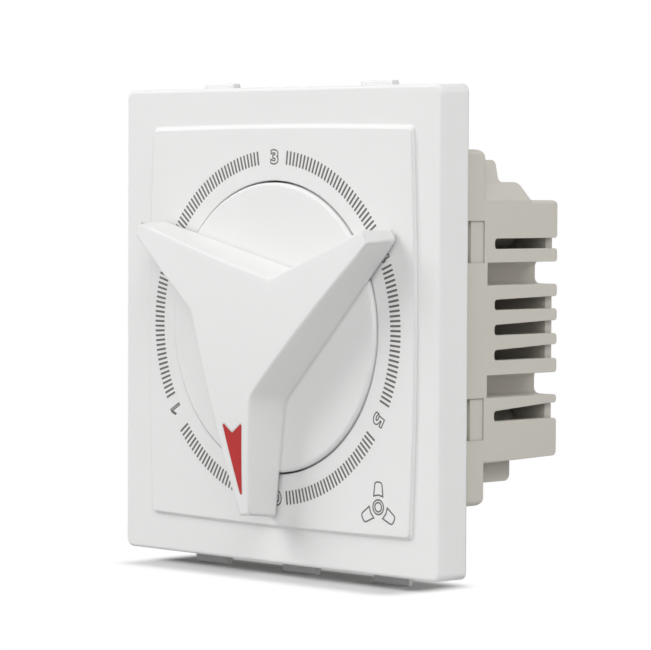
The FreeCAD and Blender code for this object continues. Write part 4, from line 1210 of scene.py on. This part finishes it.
@dataclass
class Studio:
    """Camera, soft light and a pale floor."""

    camera_place: tuple[float, float, float] = (0.251884, -0.243277, 0.015285)
    azimuth: float = 45.573
    elevation: float = 2.471
    roll: float = 0.254
    lens: float = 189.746
    sensor: float = 36.0
    clip_start: float = 0.01
    world_strength: float = 0.235
    softboxes: tuple[Softbox, ...] = (
        Softbox("Left softbox", (-0.60, -0.60, 0.65), 0.6, 6.7),
        Softbox("Front softbox", (0.60, -0.75, 0.35), 0.5, 2.3),
        Softbox("Right softbox", (0.60, -0.30, 0.75), 0.5, 3.15),
        Softbox("Back softbox", (0.70, 0.50, 0.55), 0.5, 2.1))
    floor_size: float = 6.0
    # Grey of the matte floor near the plate, a painted shadow darker than the white floor around it; it is
    # also the floor's colour for bounced light.
    floor_colour: float = 0.62
    shadow_reach: tuple[float, float] = (mm(4.0), mm(4.0))
    shadow_tuck: float = mm(6.0)
    shadow_lead: float = mm(1.5)

    def camera(self) -> None:
        """Set up the camera at the photograph's angle."""
        data = bpy.data.cameras.new("Photo camera")
        data.lens = self.lens
        data.sensor_width = self.sensor
        data.sensor_fit = "HORIZONTAL"
        data.clip_start = self.clip_start
        camera = bpy.data.objects.new("Photo camera", data)
        bpy.context.scene.collection.objects.link(camera)
        turn = math.radians(self.azimuth)
        rise = math.radians(self.elevation)
        back = Vector((math.sin(turn) * math.cos(rise), -math.cos(turn) * math.cos(rise), math.sin(rise)))
        camera.rotation_mode = "QUATERNION"
        camera.rotation_quaternion = (-back).to_track_quat("-Z", "Y") @ Quaternion(
            (0.0, 0.0, 1.0), math.radians(self.roll))
        camera.location = self.camera_place
        bpy.context.scene.camera = camera

    def seen(self, sheet: NodeSheet) -> bpy.types.NodeSocket:
        """A mask that is 1 for rays that see a surface straight, mirrored or through glass.

        Args:
            sheet: The sheet that gets the nodes.

        Returns:
            The mask.
        """
        path = sheet.add("ShaderNodeLightPath")
        mirrored = sheet.math("MAXIMUM", path.outputs["Is Glossy Ray"], path.outputs["Is Transmission Ray"])
        return sheet.math("MAXIMUM", path.outputs["Is Camera Ray"], mirrored)

    def world(self) -> None:
        """Even light all round, white where it is seen."""
        world = bpy.data.worlds.new("Studio")
        bpy.context.scene.world = world
        world.use_nodes = True
        sheet = NodeSheet(world.node_tree)
        background = sheet.tree.nodes["Background"]
        background.inputs["Color"].default_value = (1.0, 1.0, 1.0, 1.0)
        strength = sheet.math("MULTIPLY", self.seen(sheet), 1.0 - self.world_strength)
        sheet.link(sheet.math("ADD", strength, self.world_strength), background.inputs["Strength"])

    def floor_material(self, low: Vector, high: Vector) -> bpy.types.Material:
        """White floor with a painted shadow near the plate: there a grey matte floor, darker than the white
        around it, also takes the real cast shadow, and it fades to white further away.

        Args:
            low: Lowest corner of the space above the shadow.
            high: Highest corner of that space.

        Returns:
            The floor's material.
        """
        material = bpy.data.materials.new("Pale floor with painted shadow")
        material.use_nodes = True
        sheet = NodeSheet(material.node_tree)
        sheet.tree.nodes.clear()
        apart = sheet.add("ShaderNodeSeparateXYZ")
        sheet.link(sheet.add("ShaderNodeTexCoord").outputs["Object"], apart.inputs["Vector"])
        gaps = []
        for axis, (tuck, reach) in enumerate(zip((self.shadow_tuck, 0.0), self.shadow_reach)):
            middle = (low[axis] + high[axis]) / 2
            half = (high[axis] - low[axis]) / 2 - tuck
            away = sheet.math("ABSOLUTE", sheet.math("SUBTRACT", apart.outputs[axis], middle), 0.0)
            beyond = sheet.math("MAXIMUM", sheet.math("SUBTRACT", away, half), 0.0)
            gap = sheet.math("DIVIDE", beyond, reach)
            gaps.append(sheet.math("MULTIPLY", gap, gap))
        distance = sheet.math("SQRT", sheet.math("ADD", *gaps), 0.0)
        fade = sheet.add("ShaderNodeMapRange", interpolation_type="SMOOTHSTEP")
        sheet.link(distance, fade.inputs["Value"])
        seen = self.seen(sheet)
        # Near the plate, seen rays get this grey matte floor, a painted shadow that also takes the real
        # cast shadow; further away they get plain white.
        matt = sheet.add("ShaderNodeBsdfDiffuse")
        matt.inputs["Color"].default_value = (self.floor_colour,) * 3 + (1.0,)
        white = sheet.add("ShaderNodeEmission")
        mix = sheet.add("ShaderNodeMixShader")
        sheet.link(sheet.math("MULTIPLY", fade.outputs["Result"], seen), mix.inputs["Fac"])
        sheet.link(matt.outputs[0], mix.inputs[1])
        sheet.link(white.outputs[0], mix.inputs[2])
        result = sheet.add("ShaderNodeOutputMaterial")
        sheet.link(mix.outputs[0], result.inputs["Surface"])
        return material

    def floor(self) -> None:
        """Lay the floor under the object."""
        low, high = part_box("front_plate")
        low.y -= self.shadow_lead
        bpy.ops.object.select_all(action="DESELECT")
        bpy.ops.mesh.primitive_plane_add(size=self.floor_size, location=(0.0, 0.0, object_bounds()[0].z))
        floor = bpy.context.view_layer.objects.active
        floor.name = "pale_floor"
        settle(floor)
        dress(floor, self.floor_material(low, high))
        floor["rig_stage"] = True

    def build(self) -> None:
        """Set up floor, light and camera."""
        bpy.context.scene.view_settings.view_transform = "Standard"
        self.floor()
        self.world()
        for softbox in self.softboxes:
            softbox.hang()
        self.camera()


def main() -> None:
    """Build the switch and the studio, and report each piece."""
    logging.basicConfig(level=logging.INFO, format="%(name)s: %(message)s")
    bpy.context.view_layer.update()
    assemblies = [FrontPlate("casing"), DialPrint(), Knob("rotary"), RearHousing("casing"),
                  RotarySwitch("casing"), CircuitBoard("casing")]
    for assembly in assemblies:
        for piece in assembly.build():
            LOG.info("%s: %s, %d faces", type(assembly).__name__, piece.name, len(piece.data.polygons))
    Studio().build()


if __name__ == "__main__":
    main()
